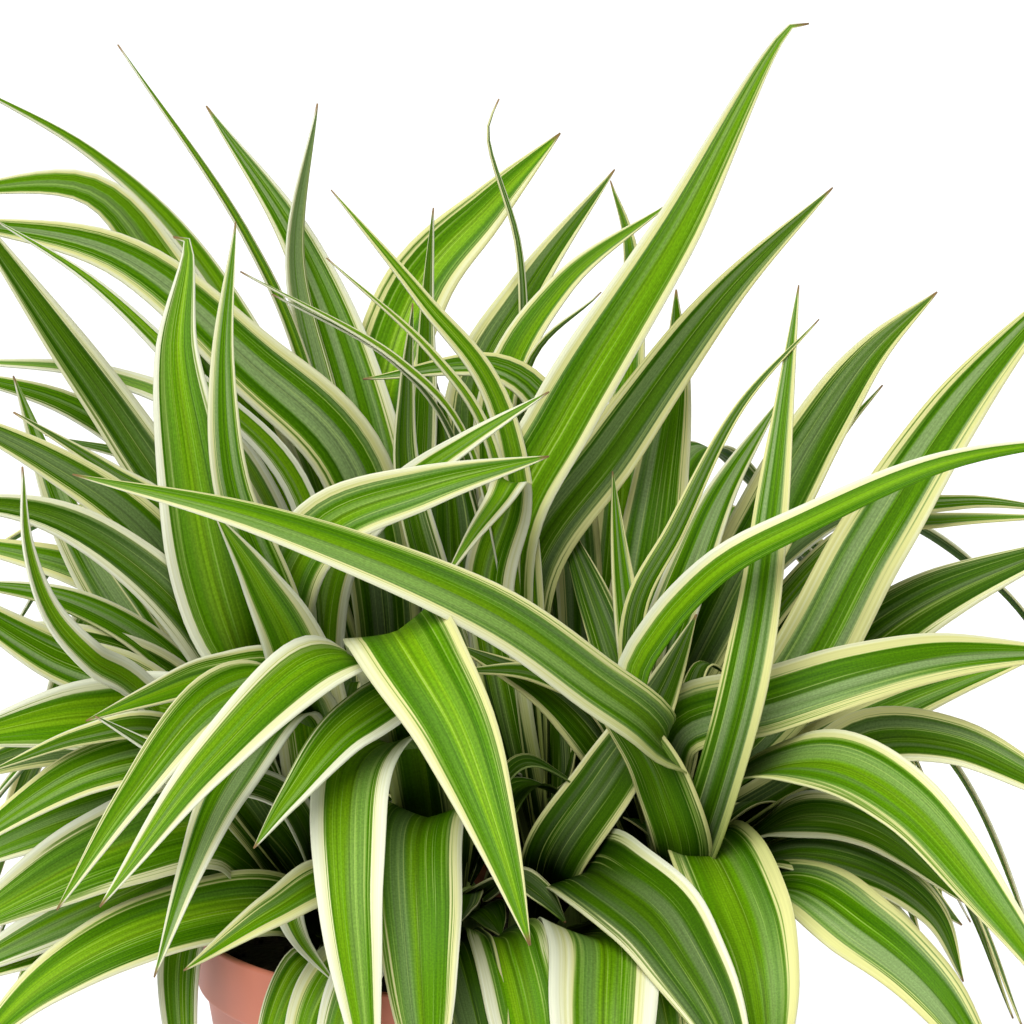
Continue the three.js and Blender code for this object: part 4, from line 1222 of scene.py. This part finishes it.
def add_sun(name, elevation, azimuth, strength):
    """A broad soft light from high up, at degrees above the floor and round from +X to +Y."""
    light = bpy.data.lights.new(name, "SUN")
    light.energy = strength
    light.angle = math.radians(KEY_BREADTH)
    sun = bpy.data.objects.new(name, light)
    sun.rotation_euler = (math.radians(90 - elevation), 0, math.radians(azimuth + 90))
    bpy.context.scene.collection.objects.link(sun)


class SPIDERPLANT_OT_stage(bpy.types.Operator):
    """Set the floor, the lights and the camera"""

    bl_idname = "spiderplant.stage"
    bl_label = "Stage"

    def execute(self, context):
        settings = context.scene.spiderplant_stage
        scene = context.scene

        paper = bpy.data.materials.new("seamless_paper")
        add = emptied(paper)
        sheet = add("BsdfPrincipled", Base_Color=settings.floor, Roughness=0.9)
        add("OutputMaterial", Surface=sheet)
        ground = bmesh.new()
        bmesh.ops.create_grid(ground, x_segments=1, y_segments=1, size=FLOOR_REACH)
        mesh = finished_mesh("floor", ground, [paper], smooth_angle=30)
        floor = bpy.data.objects.new("floor", mesh)
        scene.collection.objects.link(floor)

        world = bpy.data.worlds.new("soft_surround")
        add = emptied(world)
        light = add("Background", Color="#FFFFFF", Strength=settings.fill)
        add("OutputWorld", Surface=light)
        scene.world = world
        scene.view_settings.view_transform = "Standard"

        add_sun("key", KEY_ELEVATION, KEY_AZIMUTH, settings.key)

        lens = bpy.data.cameras.new("camera")
        lens.sensor_width = SENSOR_WIDTH
        lens.lens = SENSOR_WIDTH * VIEW_DISTANCE / SHEET_WIDTH
        lens.clip_end = FAR_CLIP
        camera = bpy.data.objects.new("camera", lens)
        camera.location = EYE * MM
        camera.rotation_euler = (math.pi / 2 - VIEW_PITCH, 0, 0)
        scene.collection.objects.link(camera)
        scene.camera = camera
        return {"FINISHED"}


class SPIDERPLANT_PT_panel(bpy.types.Panel):
    """The plant's pieces, in the order in which they are made"""

    bl_label = "Spider plant"
    bl_idname = "SPIDERPLANT_PT_panel"
    bl_space_type = "VIEW_3D"
    bl_region_type = "UI"
    bl_category = "Spider plant"

    def draw(self, context):
        for operator, settings in STEPS:
            box = self.layout.box()
            box.operator("spiderplant." + operator)
            if settings:
                group = getattr(context.scene, "spiderplant_" + settings)
                for key in group.__annotations__:
                    box.prop(group, key)


STEPS = [
    ("pot", "pot"), ("soil", "soil"), ("crowns", None), ("blades", "leaf"), ("stage", "stage"),
]
SETTINGS = {
    "pot": PotSettings, "soil": SoilSettings, "leaf": LeafSettings, "stage": StageSettings,
}
CLASSES = [
    *SETTINGS.values(), SPIDERPLANT_OT_pot, SPIDERPLANT_OT_soil, SPIDERPLANT_OT_crowns,
    SPIDERPLANT_OT_blades, SPIDERPLANT_OT_stage, SPIDERPLANT_PT_panel,
]


def register():
    for each in CLASSES:
        bpy.utils.register_class(each)
    for name, group in SETTINGS.items():
        setattr(bpy.types.Scene, "spiderplant_" + name, PointerProperty(type=group))


def unregister():
    for name in SETTINGS:
        delattr(bpy.types.Scene, "spiderplant_" + name)
    for each in reversed(CLASSES):
        bpy.utils.unregister_class(each)


def main():
    register()
    for operator, _ in STEPS:
        getattr(bpy.ops.spiderplant, operator)()
    bpy.context.view_layer.update()


if __name__ == "__main__":
    main()
